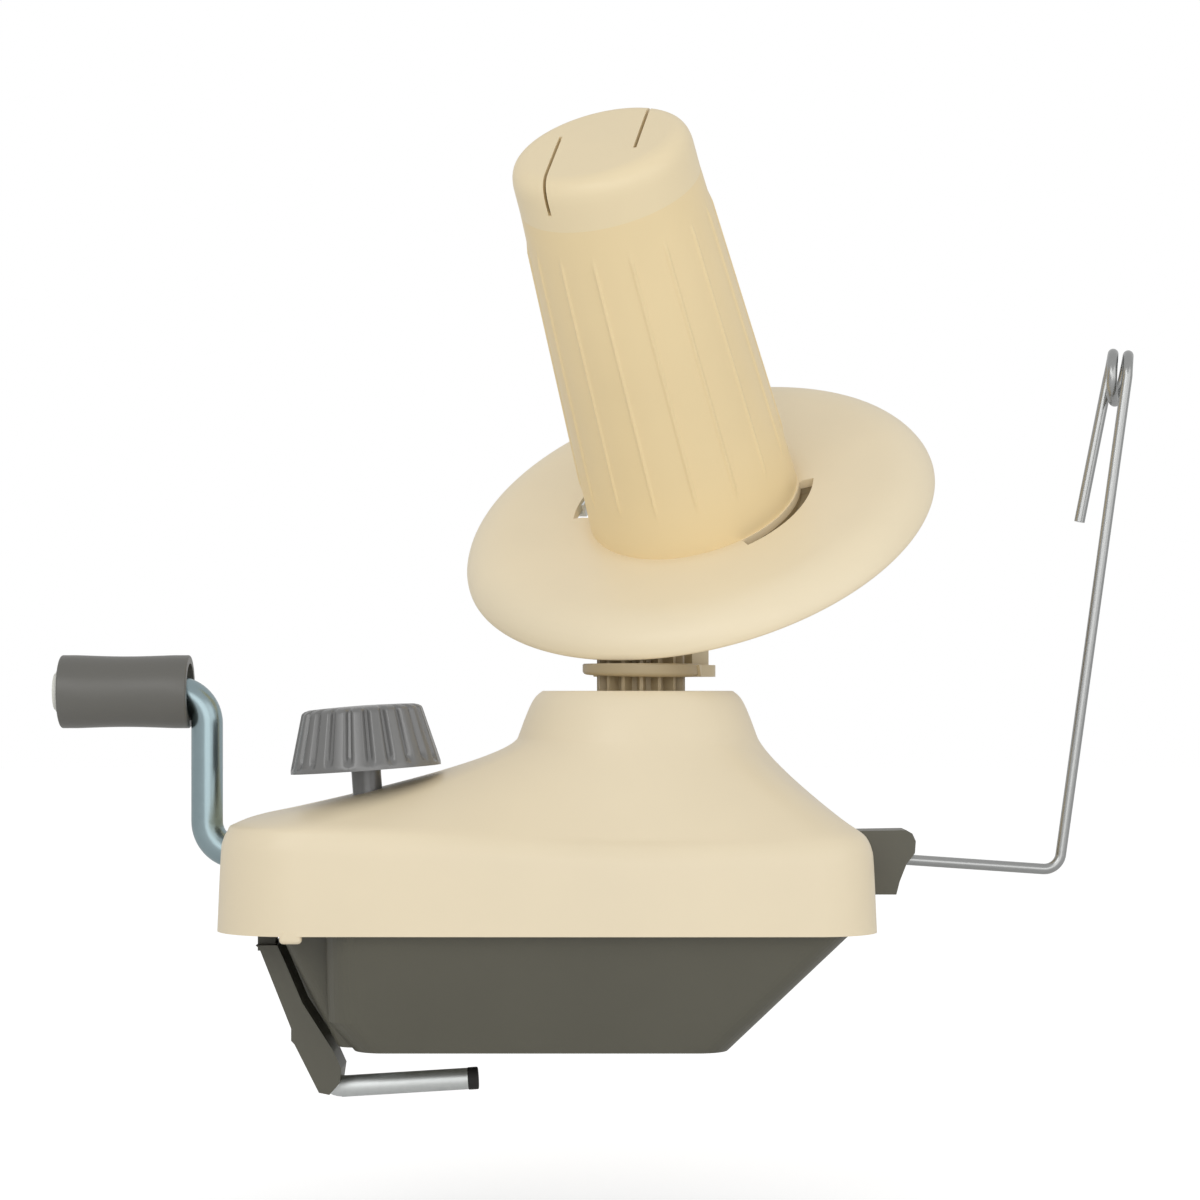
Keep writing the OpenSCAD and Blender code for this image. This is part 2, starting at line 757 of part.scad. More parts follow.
module flyer_solid() {
    back = shroud_back;
    // collar round the fixed gear and the wall behind it
    flyer_frame() {
        translate([0, 0, collar_low_z]) {
            cylinder(h = collar_high_z - collar_low_z, r = shroud_r);
            translate([-back, 0, 0]) cylinder(h = collar_high_z - collar_low_z, r = shroud_r - back_step);
            translate([-back, -shroud_r + back_step, 0])
                cube([back, 2 * (shroud_r - back_step), collar_high_z - collar_low_z]);
        }
        translate([-back - back_wall_t, -back_half_w, collar_low_z])
            cube([back_wall_t + 1, 2 * back_half_w, back_wall_h]);
        translate([0, 0, hub_low_z]) cylinder(h = hub_h, r = hub_top_r);
    }
    // arm under the disc and the boss of the tilted spindle
    head_frame() {
        translate([0, -arm_half_w, arm_top_w - arm_t]) cube([52, 2 * arm_half_w, arm_t]);
        translate([0, 0, head_boss_low_w]) cylinder(h = arm_top_w - head_boss_low_w, r = head_boss_r);
        translate([0, -1.5, head_boss_low_w + 1]) cube([32, 3, arm_top_w - head_boss_low_w - 2]);
    }
}

module flyer_bracket() {
    color(gear_cream) difference() {
        flyer_solid();
        cylinder(h = 2 * hub_low_z, r = shroud_bore_r, center = true);
        cylinder(h = 140, r = shaft_r);
        head_frame() {
            translate([0, 0, head_boss_low_w - 1]) cylinder(h = 40, r = pin_r);
            translate([-20, -30, arm_top_w]) cube([90, 60, 40]);
            // keeps the arm's end inside the ring of teeth
            translate([0, 0, -75]) ring(51.0, 80, 40);
        }
        // lightening pocket in the back wall
        flyer_frame() translate([-shroud_back - 7, -arm_half_w + 2.2, collar_low_z - 1])
            cube([6.2, 2 * arm_half_w - 4.4, 15]);
    }
}

module cone_spindle() {
    color(steel) head_frame() difference() {
        translate([0, 0, head_boss_low_w]) cylinder(h = pin_top_w - head_boss_low_w, r = pin_r);
        translate([0, 0, cone_web_w + cone_web_t + 1.2]) ring(pin_r - 0.5, pin_r + 1, 0.8);
    }
}

module spindle_washer() {
    color(steel) head_frame() translate([0, 0, arm_top_w])
        ring(pin_r, pin_r + 3.6, washer_t - 0.05);
}

module spindle_clip() {
    color(steel) head_frame() translate([0, 0, cone_web_w + cone_web_t + 1.2])
        gap_ring(pin_r - 0.5, pin_r + 2.2, 0.8);
}

// Winding head

// Radius at which a surface that is upright on the low side, h from the spindle, lies at height w
// Height of the disc's underside along the spindle, at radius r
function under_w(r) = disc_top_w - disc_skin - under_drop
    + (under_drop + under_rise) * (r - cone_base_r + 1) / (under_r - cone_base_r + 1);
function ring_r(h, w) = (h - w * sin(tilt)) / cos(tilt);

// One arc shaped slot beside the cone's foot
module arc_slot(a0) {
    rotate([0, 0, a0]) intersection() {
        ring(slot_in_r, slot_out_r, 12);
        linear_extrude(height = 12)
            polygon([[0, 0], [60, 0], [60, 35], [60 * cos(slot_span), 60 * sin(slot_span)]]);
    }
}

module disc_shell() {
    lo = -disc_edge_w;
    t = disc_skin;
    rotate_extrude($fn = 128) polygon([
        [lower_bush_r, hub_low_w], [lower_bush_r + 2.4, hub_low_w], [lower_bush_r + 2.4, disc_top_w - t - under_drop],
        [cone_base_r - 1, disc_top_w - t - under_drop], [under_r, disc_top_w - t + under_rise], [ring_r(ring_root_h, ring_high_w), ring_high_w],
        [ring_r(ring_root_h, ring_low_w), ring_low_w], [ring_r(ring_root_h, ring_low_w) + 0.1, lo],
        [disc_r - 0.4, lo], [disc_r, lo + 0.5], [disc_r - 0.1, lo + 1.6], [disc_r - 0.9, lo + 3.3],
        [disc_r - 2.3, lo + 5], [disc_r - 4.4, lo + 6.5], [disc_r - 7.2, lo + 7.5], [disc_r - 10.4, lo + 7.9],
        [cone_base_r + 2, disc_top_w - 0.3], [cone_base_r, disc_top_w - 0.8], [lower_bush_r, disc_top_w - 0.8],
    ]);
}

module ring_teeth_body() {
    step = 360 / ring_teeth;
    intersection() {
        translate([0, 0, ring_low_w]) linear_extrude(height = ring_high_w - ring_low_w)
            for (i = [0 : ring_teeth - 1]) rotate([0, 0, (i + 0.5) * step]) polygon([
                [49, -0.42], [53.3, -0.78], [58.5, -1.12], [58.5, 1.12], [53.3, 0.78], [49, 0.42],
            ]);
        rotate_extrude($fn = 128) polygon([
            [ring_r(ring_crest_h, ring_low_w), ring_low_w], [ring_r(ring_root_h, ring_low_w) + 0.3, ring_low_w],
            [ring_r(ring_root_h, ring_high_w) + 0.3, ring_high_w], [ring_r(ring_crest_h, ring_high_w), ring_high_w],
        ]);
    }
}

module winding_disc() {
    color(disc_cream) head_frame() difference() {
        union() {
            disc_shell();
            ring_teeth_body();
        }
        for (a = [slot_start, slot_start + 180]) translate([0, 0, disc_top_w - 8]) arc_slot(a);
        for (a = [0 : 120 : 240]) rotate([0, 0, a]) translate([cone_screw_ring, 0, -70])
            cylinder(h = 40, r = cone_screw_r + 0.2);
    }
}

module winding_cone() {
    t = cone_wall;
    step = 360 / cone_ribs;
    slope = atan((cone_base_r - cone_top_r) / (cone_cap_w - cone_foot_w));
    color(cone_cream) head_frame() difference() {
        union() {
            rotate_extrude($fn = 128) polygon([
                [cone_base_r - t - 1.2, cone_foot_w], [cone_base_r, cone_foot_w], [cone_base_r, cone_foot_w + 0.6],
                [cone_top_r, cone_cap_w], [cone_top_r - t, cone_cap_w],
                [cone_top_r - t + 0.6, cone_web_w + cone_web_t], [lower_bush_r, cone_web_w + cone_web_t],
                [lower_bush_r, cone_web_w - 4], [lower_bush_r + 2, cone_web_w - 4], [lower_bush_r + 2, cone_web_w],
                [cone_top_r - t + 0.7, cone_web_w],
            ]);
            // raised lines
            for (i = [0 : cone_ribs - 1]) rotate([0, 0, 4.6 + i * step])
                translate([cone_base_r, 0, cone_foot_w]) rotate([0, -slope, 0])
                translate([-0.8, -0.55, 11]) cube([1.15, 1.1, cone_cap_w - cone_foot_w - 18]);
            // screw bosses inside the foot
            for (a = [0 : 120 : 240]) rotate([0, 0, a]) translate([cone_screw_ring, 0, cone_foot_w])
                cylinder(h = 12, r = 3);
            // foot ring that carries the bosses
            translate([0, 0, cone_foot_w]) ring(lower_bush_r + 6, cone_base_r - 1, 2.2);
        }
        for (a = [0 : 120 : 240]) rotate([0, 0, a]) translate([cone_screw_ring, 0, cone_foot_w - 1])
            cylinder(h = 11, r = cone_screw_r);
    }
}

module cone_cap() {
    r = cone_top_r;
    t = cone_wall;
    color(cream) head_frame() difference() {
        rotate_extrude($fn = 128) polygon([
            [r - t - 2, cone_cap_w - 3], [r - t, cone_cap_w - 3], [r - t, cone_cap_w], [r, cone_cap_w],
            [r - 0.15, cap_top_w - 5], [r - 0.5, cap_top_w - 3.2], [r - 1.3, cap_top_w - 1.7],
            [r - 2.6, cap_top_w - 0.7], [r - 4.4, cap_top_w - 0.2], [0, cap_top_w],
            [0, cap_top_w - t], [r - 4.6, cap_top_w - t - 0.3], [r - t - 0.4, cap_top_w - 4],
            [r - t - 2, cone_cap_w + 2],
        ]);
        // two narrow yarn slits, on opposite sides
        for (a = [0, 180]) rotate([0, 0, a]) translate([slit_x, slit_y, cap_top_w - slit_deep])
            rotate([0, 0, 180 + slit_turn]) translate([0, -slit_w / 2, 0]) cube([slit_len, slit_w, 20]);
    }
}

module cone_bushes() {
    color(white_nylon) head_frame() {
        translate([0, 0, hub_low_w]) difference() {
            cylinder(h = disc_top_w - 0.8 - hub_low_w + 8, r = lower_bush_r);
            translate([0, 0, -1]) cylinder(h = 40, r = pin_r + run_gap);
        }
        translate([0, 0, cone_web_w - 4]) difference() {
            cylinder(h = cone_web_t + 5, r = lower_bush_r);
            translate([0, 0, -1]) cylinder(h = 40, r = pin_r + run_gap);
        }
    }
}

module cone_screws() {
    seat = disc_top_w - disc_skin - 0.8;
    color(steel) head_frame() for (a = [0 : 120 : 240]) rotate([0, 0, a])
        translate([cone_screw_ring, 0, seat]) {
            difference() {
                translate([0, 0, -1.3]) cylinder(h = 1.3, r = 2.3);
                for (b = [0, 90]) rotate([0, 0, b]) translate([-1.3, -0.3, -2]) cube([2.6, 0.6, 1.2]);
            }
            cylinder(h = 10, r = cone_screw_r);
        }
}

// A bent steel strip under the slot on the left, seen through it
module spring_clip() {
    low = under_w(slot_out_r) - 0.02 - clip_t;
    color(steel) head_frame() rotate([0, 0, slot_start + 180 + clip_turn]) {
        translate([slot_out_r - 1.5, -clip_w / 2, low]) cube([clip_len, clip_w, clip_t]);
        // its inner end, turned up in the yarn slot
        translate([slot_out_r - 1.5 - clip_t, -clip_w / 2, low]) cube([clip_t, clip_w, clip_up]);
    }
}

// Table clamp

module clamp_knob() {
    slope = atan((knob_r - knob_top_r) / (knob_h - 1.4));
    color(knob_grey) clamp_frame() difference() {
        union() {
            translate([0, 0, stem_low]) cylinder(h = knob_low - stem_low + 3, r = stem_r);
            translate([0, 0, knob_low]) rotate_extrude() polygon([
                [0, 1], [stem_r + 1.5, 1], [stem_r + 1.5, knob_h - 4], [knob_top_r - 3, knob_h - 2.6],
                [knob_r - 2.6, 0], [knob_r, 0], [knob_r, 0.8], [knob_top_r, knob_h - 0.8],
                [knob_top_r - 0.8, knob_h], [knob_top_r - 2, knob_h + 0.3], [0, knob_h + 0.6],
            ]);
        }
        for (i = [0 : knob_flutes - 1]) rotate([0, 0, i * 360 / knob_flutes])
            translate([knob_r + 0.95, 0, knob_low + 1.2]) rotate([0, -slope, 0])
            cylinder(h = 30, r = 1.75, $fn = 24);
        translate([0, 0, stem_low - 1]) cylinder(h = 12, r = screw_thread_r - 0.7);
    }
}

module clamp_screw() {
    color(steel) clamp_frame() difference() {
        union() {
            translate([0, 0, screw_low]) cylinder(h = 6, r = screw_tip_r);
            translate([0, 0, 5.2]) cylinder(h = stem_low - 5.2, r = screw_thread_r);
            translate([0, 0, stem_low - 1]) cylinder(h = 12, r = screw_thread_r - 0.7);
        }
        translate([0, 0, stem_low - 2.2]) ring(screw_thread_r - 0.5, screw_thread_r + 1, 0.9);
    }
}

module screw_clip() {
    color(steel) clamp_frame() translate([0, 0, stem_low - 2.2])
        gap_ring(screw_thread_r - 0.5, screw_thread_r + 2.4, 0.9);
}

module jaw_body() {
    // slanted arm outside the nose
    translate([0, -screw_y + arm_half, 0]) rotate([90, 0, 0]) linear_extrude(height = 2 * arm_half)
        polygon([
            [-89.2, 23.6], [-84.2, 23.6], [-82.2, 19.2], [-78.4, 10.3], [-71.2, -0.9], [-69.4, -4.9],
            [-69.9, -8.3], [-72.2, -10.9], [-74.6, -10.4], [-80.2, 0.7], [-81, 1.6], [-81, 4.4], [-88.3, 22.8],
        ]);
    // web that joins the arm to the nut's boss
    translate([0, -screw_y + web_half, 0]) rotate([90, 0, 0]) linear_extrude(height = 2 * web_half)
        polygon([
            [-89.2, 22], [-85, 22], [-85.2, web_low - 1.4], [-60, web_low - 1.4], [-60, web_high],
            [-88, web_high], [-89.2, web_high - 1.2],
        ]);
    clamp_frame() translate([0, 0, nut_low - 2]) cylinder(h = boss_h, r = boss_r);
}

module clamp_jaw() {
    color(dark_grey) difference() {
        jaw_body();
        clamp_frame() {
            translate([0, 0, nut_low - 6]) cylinder(h = 23, r = screw_thread_r + 0.35);
            translate([0, 0, nut_low]) cylinder(h = 20, r = nut_r, $fn = 6);
        }
        leg_shape(leg_len);
    }
}

module clamp_nut() {
    color(brass_col) clamp_frame() translate([0, 0, nut_low]) difference() {
        cylinder(h = nut_h, r = nut_r, $fn = 6);
        translate([0, 0, -1]) cylinder(h = 20, r = screw_thread_r + run_gap);
    }
}

// The bent rod: its upper part is buried in the arm, its leg runs under the base
module leg_shape(l) {
    bend = 3.4;
    up = 13;
    translate([leg_turn_x, -screw_y, leg_z]) {
        rotate([0, -leg_rise, 0]) {
            translate([bend - lap, 0, 0]) rotate([0, 90, 0]) cylinder(h = l - bend + lap, r = leg_r);
            translate([bend, 0, bend]) rotate([90, 0, 0]) rotate([0, 0, 180 + leg_bend])
                rotate_extrude(angle = 90 - leg_bend) translate([bend, 0]) circle(leg_r - leg_slim);
            translate([bend, 0, bend]) rotate([0, -leg_bend, 0]) translate([-bend, 0, -lap])
                cylinder(h = up, r = leg_r);
        }
    }
}

module clamp_rod() {
    color(steel) leg_shape(leg_len);
}

module clamp_tip() {
    color(black) translate([leg_turn_x, -screw_y, leg_z]) rotate([0, -leg_rise, 0])
        translate([leg_len - tip_len + 0.6, 0, 0]) rotate([0, 90, 0]) difference() {
            cylinder(h = tip_len, r = leg_r + 0.5);
            translate([0, 0, -1]) cylinder(h = tip_len + 0.4, r = leg_r);
        }
}

// Yarn guide

module holder_block() {
    translate([0, holder_half_w, 0]) rotate([90, 0, 0]) linear_extrude(height = 2 * holder_half_w)
        polygon([
            [50, 49.2], [62.6, 49.4], [64, 48.6], [64.8, 46.8], [64.6, 44], [62.6, 41.4],
            [61, 37.3], [60.2, 34.2], [50, 34.2],
        ]);
}

// Children stand on the wire's lower leg: +X out along it
module wire_frame() {
    translate([wire_in_x, 0, wire_z]) rotate([0, wire_slope, 0]) children();
}

module guide_holder() {
    color(dark_grey) difference() {
        holder_block();
        wire_frame() translate([-0.4, 0, 0]) rotate([0, 90, 0]) cylinder(h = 20, r = wire_r + run_gap);
    }
}

// Path of the eye: up the wire, one and a half turns about X, then the free leg
function eye_path() = let (
    turn = [for (i = [0 : eye_steps]) let (a = 180 - 540 * i / eye_steps)
        [-eye_pitch * 1.5 * i / eye_steps, eye_r + eye_r * cos(a), eye_r * sin(a)]],
    last = turn[eye_steps]
) concat(
    [[0, 0, -1.5]], turn,
    [for (k = [0.1, 0.5, 1]) last + k * free_len * [-sin(free_lean), 0, -cos(free_lean)]]
);

// A round wire swept along the eye's path, its section turned with the path about X
module eye_sweep() {
    path = eye_path();
    n = len(path);
    m = 20;
    r = wire_r - bend_slim;
    verts = [for (i = [0 : n - 1]) let (
        d = path[min(i + 1, n - 1)] - path[max(i - 1, 0)],
        t = d / norm(d),
        c = cross(t, [1, 0, 0]),
        u = c / norm(c),
        v = cross(t, u)
    ) for (j = [0 : m - 1]) path[i] + r * (u * cos(360 * j / m) + v * sin(360 * j / m))];
    sides = [for (i = [0 : n - 2]) for (j = [0 : m - 1]) let (k = (j + 1) % m)
        each [
            [i * m + j, (i + 1) * m + j, i * m + k],
            [i * m + k, (i + 1) * m + j, (i + 1) * m + k],
        ]];
    low = [for (j = [0 : m - 1]) j];
    high = [for (j = [m - 1 : -1 : 0]) (n - 1) * m + j];
    polyhedron(points = verts, faces = concat(sides, [low], [high]));
}

module guide_wire() {
    leg = wire_turn_x - wire_in_x;
    sweep = 90 - wire_lean + wire_slope;
    b = wire_bend_r;
    color(steel) wire_frame() {
        rotate([0, 90, 0]) cylinder(h = leg - b + lap, r = wire_r);
        translate([leg - b, 0, b]) rotate([90, 0, 0]) rotate([0, 0, -90])
            rotate_extrude(angle = sweep) translate([b, 0]) circle(wire_r - bend_slim);
        translate([leg - b, 0, b]) rotate([0, 90 - sweep, 0]) translate([b, 0, 0]) {
            translate([0, 0, -lap]) cylinder(h = upright_len + lap, r = wire_r);
            translate([0, 0, upright_len]) rotate([0, 0, -eye_yaw]) eye_sweep();
        }
    }
}

top_cover();
base_shell();
neck_gear();
cover_screws();
outer_crank_bush();
inner_crank_bush();
shaft_foot_bush();
guide_holder();
crank_rod();
crown_gear();
crown_gear_pin();
crank_clip();
grip_end_cap();
crank_grip();
drive_shaft();
drive_pinion();
pinion_pin();
shaft_clip();
flyer_bracket();
cone_spindle();
spindle_washer();
spindle_clip();
winding_disc();
winding_cone();
cone_cap();
cone_bushes();
cone_screws();
spring_clip();
clamp_knob();
clamp_screw();
screw_clip();
clamp_jaw();
clamp_nut();
clamp_rod();
clamp_tip();
guide_wire();
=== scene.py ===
import json
import math

import bpy
import numpy as np
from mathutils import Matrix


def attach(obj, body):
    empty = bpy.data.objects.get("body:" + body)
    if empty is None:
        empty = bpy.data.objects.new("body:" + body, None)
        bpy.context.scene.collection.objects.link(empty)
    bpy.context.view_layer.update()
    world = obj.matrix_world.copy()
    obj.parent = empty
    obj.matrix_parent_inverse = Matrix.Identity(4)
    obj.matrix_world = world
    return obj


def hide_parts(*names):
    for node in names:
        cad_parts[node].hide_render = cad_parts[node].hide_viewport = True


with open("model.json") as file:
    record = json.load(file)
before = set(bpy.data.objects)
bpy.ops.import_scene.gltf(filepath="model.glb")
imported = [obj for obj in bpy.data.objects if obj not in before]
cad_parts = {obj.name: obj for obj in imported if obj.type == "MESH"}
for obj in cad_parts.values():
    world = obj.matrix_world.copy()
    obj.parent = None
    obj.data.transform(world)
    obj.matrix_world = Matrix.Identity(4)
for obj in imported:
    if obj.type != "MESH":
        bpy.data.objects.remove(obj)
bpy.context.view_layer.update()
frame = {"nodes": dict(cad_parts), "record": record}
print("frame loaded,", len(frame["nodes"]), "nodes")


def addMesh(name, verts, faces, smooth=True):
    # verts is an (n, 3) array in millimetres, faces a list of index tuples that point outwards
    mesh = bpy.data.meshes.new(name)
    mesh.from_pydata((np.asarray(verts) / 1000).tolist(), [], [tuple(map(int, f)) for f in faces])
    mesh.update()
    mesh.polygons.foreach_set("use_smooth", [smooth] * len(mesh.polygons))
    piece = bpy.data.objects.new(name, mesh)
    bpy.context.scene.collection.objects.link(piece)
    return piece


def gridFaces(rows, cols):
    # quads of a rows x cols grid of points closed round each row, wound so that along the row
    # crossed with up points out
    r = np.arange(rows - 1)[:, None]
    c = np.arange(cols)[None, :]
    d = (c + 1) % cols
    return np.stack([r * cols + c, r * cols + d, (r + 1) * cols + d, (r + 1) * cols + c], -1).reshape(-1, 4)


def softShade(piece, angle):
    # keeps edges sharper than the angle crisp, rounds the rest
    piece.data.set_sharp_from_angle(angle=math.radians(angle))
    return piece


def turnY(points, degrees):
    # turned about y: x becomes x cos a + z sin a, and z becomes z cos a - x sin a
    a = math.radians(degrees)
    m = np.array([[math.cos(a), 0, math.sin(a)], [0, 1, 0], [-math.sin(a), 0, math.cos(a)]])
    return points @ m.T


def turnZ(points, degrees):
    # turned about z: x becomes x cos a - y sin a, and y becomes x sin a + y cos a
    a = math.radians(degrees)
    m = np.array([[math.cos(a), -math.sin(a), 0], [math.sin(a), math.cos(a), 0], [0, 0, 1]])
    return points @ m.T


def newFinish(name):
    # an empty material with its node tree, its shader and the object's own coordinates
    mat = bpy.data.materials.new(name)
    mat.use_nodes = True
    tree = mat.node_tree
    return mat, tree, tree.nodes["Principled BSDF"], tree.nodes.new("ShaderNodeTexCoord").outputs["Object"]


def addNoise(tree, coords, scale, detail):
    noise = tree.nodes.new("ShaderNodeTexNoise")
    noise.inputs["Scale"].default_value = scale
    noise.inputs["Detail"].default_value = detail
    tree.links.new(coords, noise.inputs["Vector"])
    return noise.outputs["Fac"]


def varyColour(tree, shader, noise, colour, share):
    # from 1 - share to 1 + share times the colour, as the noise goes from 0.3 to 0.7
    shades = tree.nodes.new("ShaderNodeValToRGB")
    for stop, place, factor in zip(shades.color_ramp.elements, (0.3, 0.7), (1 - share, 1 + share)):
        stop.position = place
        stop.color = (*[min(1, c * factor) for c in colour], 1)
    tree.links.new(noise, shades.inputs["Fac"])
    tree.links.new(shades.outputs["Color"], shader.inputs["Base Color"])


def varyGloss(tree, shader, noise, rough, spread):
    # roughness from rough - spread to rough + spread, as the noise goes from 0 to 1
    gloss = tree.nodes.new("ShaderNodeMapRange")
    gloss.inputs["To Min"].default_value = rough - spread
    gloss.inputs["To Max"].default_value = rough + spread
    tree.links.new(noise, gloss.inputs["Value"])
    tree.links.new(gloss.outputs["Result"], shader.inputs["Roughness"])


def addDents(tree, shader, noise, strength, depth):
    dents = tree.nodes.new("ShaderNodeBump")
    dents.inputs["Strength"].default_value = strength
    dents.inputs["Distance"].default_value = depth
    tree.links.new(noise, dents.inputs["Height"])
    tree.links.new(dents.outputs["Normal"], shader.inputs["Normal"])


def plastic(name, colour, rough, mottle=0.03, grain=900, bump=0.02, gleam=0.5):
    # moulded plastic: a faint cloudy shift of the colour and the gloss, and a fine surface texture
    mat, tree, shader, coords = newFinish(name)
    shader.inputs["Specular IOR Level"].default_value = gleam
    cloud = addNoise(tree, coords, 28, 3)
    varyColour(tree, shader, cloud, colour, mottle)
    varyGloss(tree, shader, cloud, rough, 0.08)
    addDents(tree, shader, addNoise(tree, coords, grain, 2), bump * 10, 0.00005)
    return mat


def metal(name, colour, rough, grain=700, contrast=0.05, spread=0.06, bump=0.03):
    # drawn or plated metal: a fine even grain in the colour, the gloss and the surface
    mat, tree, shader, coords = newFinish(name)
    shader.inputs["Metallic"].default_value = 1
    lines = addNoise(tree, coords, grain, 4)
    varyColour(tree, shader, lines, colour, contrast)
    varyGloss(tree, shader, lines, rough, spread)
    addDents(tree, shader, lines, bump * 5, 0.00004)
    return mat


def linear(r, g, b):
    # a colour as it is seen on a screen, 0 to 255, turned to the linear values that nodes take
    return [((c / 255 + 0.055) / 1.055) ** 2.4 if c > 10 else c / 255 / 12.92 for c in (r, g, b)]


finishes = {
    "cover_cream": plastic("coverCream", linear(235, 220, 189), 0.36, 0.02),
    "cap_cream": plastic("capCream", linear(240, 222, 183), 0.38, 0.02),
    "cone_cream": plastic("coneCream", linear(240, 218, 171), 0.38, 0.02),
    "disc_cream": plastic("discCream", linear(242, 227, 195), 0.38, 0.02),
    # painted shade: a darker copy of the cream for the fixed gear, its collar and the slot's pocket, which lie
    # in the disc's shadow; bracket_cream is the lighter, unshaded plastic
    "gear_cream": plastic("gearCreamPaintedShade", linear(172, 155, 122), 0.42, 0.03),
    "bracket_cream": plastic("bracketCream", linear(204, 188, 153), 0.42, 0.03),
    "base_grey": plastic("baseGrey", linear(90, 88, 76), 0.42, 0.04),
    "knob_grey": plastic("knobGrey", linear(108, 108, 107), 0.24, 0.03, gleam=1),
    "grip_grey": plastic("gripGrey", linear(101, 100, 95), 0.34, 0.03),
    "nylon": plastic("whiteNylon", linear(226, 226, 218), 0.4, 0.015),
    "tip_rubber": plastic("tipRubber", linear(36, 35, 34), 0.7, 0.06, grain=1400, bump=0.05),
    "zinc_rod": metal("zincRod", linear(156, 175, 180), 0.26, 700, 0.02, 0.03, 0.006),
    "steel": metal("steel", linear(228, 231, 230), 0.5, 700, 0.03, 0.04, 0.01),
    "wire_steel": metal("wireSteel", linear(172, 173, 172), 0.26, 900, 0.02, 0.03, 0.006),
    "nut_brass": metal("nutBrass", linear(200, 168, 98), 0.3),
}
for part in frame["record"]["subparts"]:
    node = frame["nodes"][part["node"]]
    node.data.materials.clear()
    node.data.materials.append(finishes[part["material_slot"]])
# the bracket keeps the lighter cream, while the gear and collar keep the darker copy as painted shade
frame["nodes"]["flyer_bracket"].data.materials[0] = finishes["bracket_cream"]
print("finishes on", len(frame["nodes"]), "nodes")


def finishPiece(piece, body, slotName, *nodes):
    # the piece's finish, the body it rides, its slot and the nodes whose place it takes
    piece.data.materials.clear()
    piece.data.materials.append(finishes[slotName])
    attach(piece, body)
    if nodes:
        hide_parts(*nodes)
    return piece


# The cover, whose skirt has a rounded plan that blends up to the round collar
coverShape = {
    "left": 96.7, "right": 52.6, "halfWidth": 44, "leftCorner": 19, "rightCorner": 14,
    "wall": 2.4, "seam": 27.4, "seamFlare": 0.78, "wallTop": 48.6, "riseLeft": 3.2, "riseRight": 1.5,
    "shoulder": 3.2, "bend": (30.2, 65.9), "neckHole": 11, "neckRoll": 0.4,
    "collarSteps": ((28.4, 71.5), (27.0, 75.3), (25.4, 79.1), (24.1, 81.1)),
    "collarTopRadius": 22.6, "collarTop": 82.3, "collarInside": 79.5, "collarShift": 0.8,
    "arcSteps": 22, "sideSteps": 34, "endSteps": 18,
}


def coverPlan(t):
    # outline of the skirt moved in by t: four quarter circles joined by straights, as (n, 2) points
    s = coverShape
    rr, lr = s["rightCorner"] - t, s["leftCorner"] - t
    rx, lx = s["right"] - s["rightCorner"], -s["left"] + s["leftCorner"]
    ry, ly = s["halfWidth"] - s["rightCorner"], s["halfWidth"] - s["leftCorner"]
    parts = []
    corners = [(rx, -ry, rr, -90), (rx, ry, rr, 0), (lx, ly, lr, 90), (lx, -ly, lr, 180)]
    for cx, cy, r, start in corners:
        a = np.radians(start + np.linspace(0, 90, s["arcSteps"]))
        parts.append(np.stack([cx + r * np.cos(a), cy + r * np.sin(a)], 1))
    out = []
    counts = [s["endSteps"], s["sideSteps"], s["endSteps"], s["sideSteps"]]
    for k, part in enumerate(parts):
        step = np.linspace(0, 1, counts[k] + 2)[1:-1, None]
        out += [part, part[-1] * (1 - step) + parts[(k + 1) % 4][0] * step]
    return np.concatenate(out)


def coverProfile(points, t):
    # for each plan point, the radius and height of the wall from the seam to the collar's flat top,
    # smoothed by a cubic through the same stations as the solid's; t is how far inside the wall lies.
    # From the wall's edge a to the collar's foot c it follows a (1 - w)^2 + 2 b w (1 - w) + c w^2
    s = coverShape
    rho = np.linalg.norm(points, axis=1)
    cx = points[:, 0] / rho
    edge = s["wallTop"] + np.where(cx > 0, s["riseRight"], s["riseLeft"]) * cx * cx - 0.9 * t
    bend, foot = s["bend"], s["collarSteps"][0]
    a = np.stack([rho - s["shoulder"], edge + 0.3], 1)
    b, c = np.array([bend[0] - 0.9 * t, bend[1] - 0.6 * t]), np.array([foot[0] - t, foot[1]])
    one = np.ones_like(rho)
    stations = [
        (rho + s["seamFlare"], s["seam"] * one, 0), (rho, edge - 7, 0), (rho - 0.5, edge - 3.5, 0),
        (rho - 1.6, edge - 1.2, 0), (a[:, 0], a[:, 1], 0),
    ]
    for w in np.linspace(0, 1, 15)[1:-1]:
        q = a * (1 - w) ** 2 + b * 2 * w * (1 - w) + c * w * w
        stations.append((q[:, 0], q[:, 1], w))
    highest = s["collarInside"] if t else s["collarTop"]
    for r, z in (*s["collarSteps"], (s["collarTopRadius"], s["collarTop"])):
        stations.append(((r - t) * one, min(z, highest) * one, 1))
    r = np.stack([x[0] for x in stations])
    z = np.stack([x[1] for x in stations])
    shift = np.array([x[2] for x in stations])
    return r, z, shift, cx, points[:, 1] / rho


def smoothRows(rows, times):
    # Catmull-Rom curve through the rows of points, times new rows to each gap
    p = np.concatenate([2 * rows[:1] - rows[1:2], rows, 2 * rows[-1:] - rows[-2:-1]])
    out = []
    for k in range(1, len(p) - 2):
        for u in np.arange(times) / times:
            out.append(0.5 * (2 * p[k] + (p[k + 1] - p[k - 1]) * u
                + (2 * p[k - 1] - 5 * p[k] + 4 * p[k + 1] - p[k + 2]) * u * u
                + (3 * p[k] - p[k - 1] - 3 * p[k + 1] + p[k + 2]) * u ** 3))
    return np.stack(out + [rows[-1]])


def coverPoints(t):
    # each plan point's profile laid out along its own direction from the axis, then smoothed upwards
    r, z, shift, cx, cy = coverProfile(coverPlan(t), t)
    rows = np.stack([cx * r - coverShape["collarShift"] * shift[:, None], cy * r, z], -1)
    return smoothRows(rows, 3)


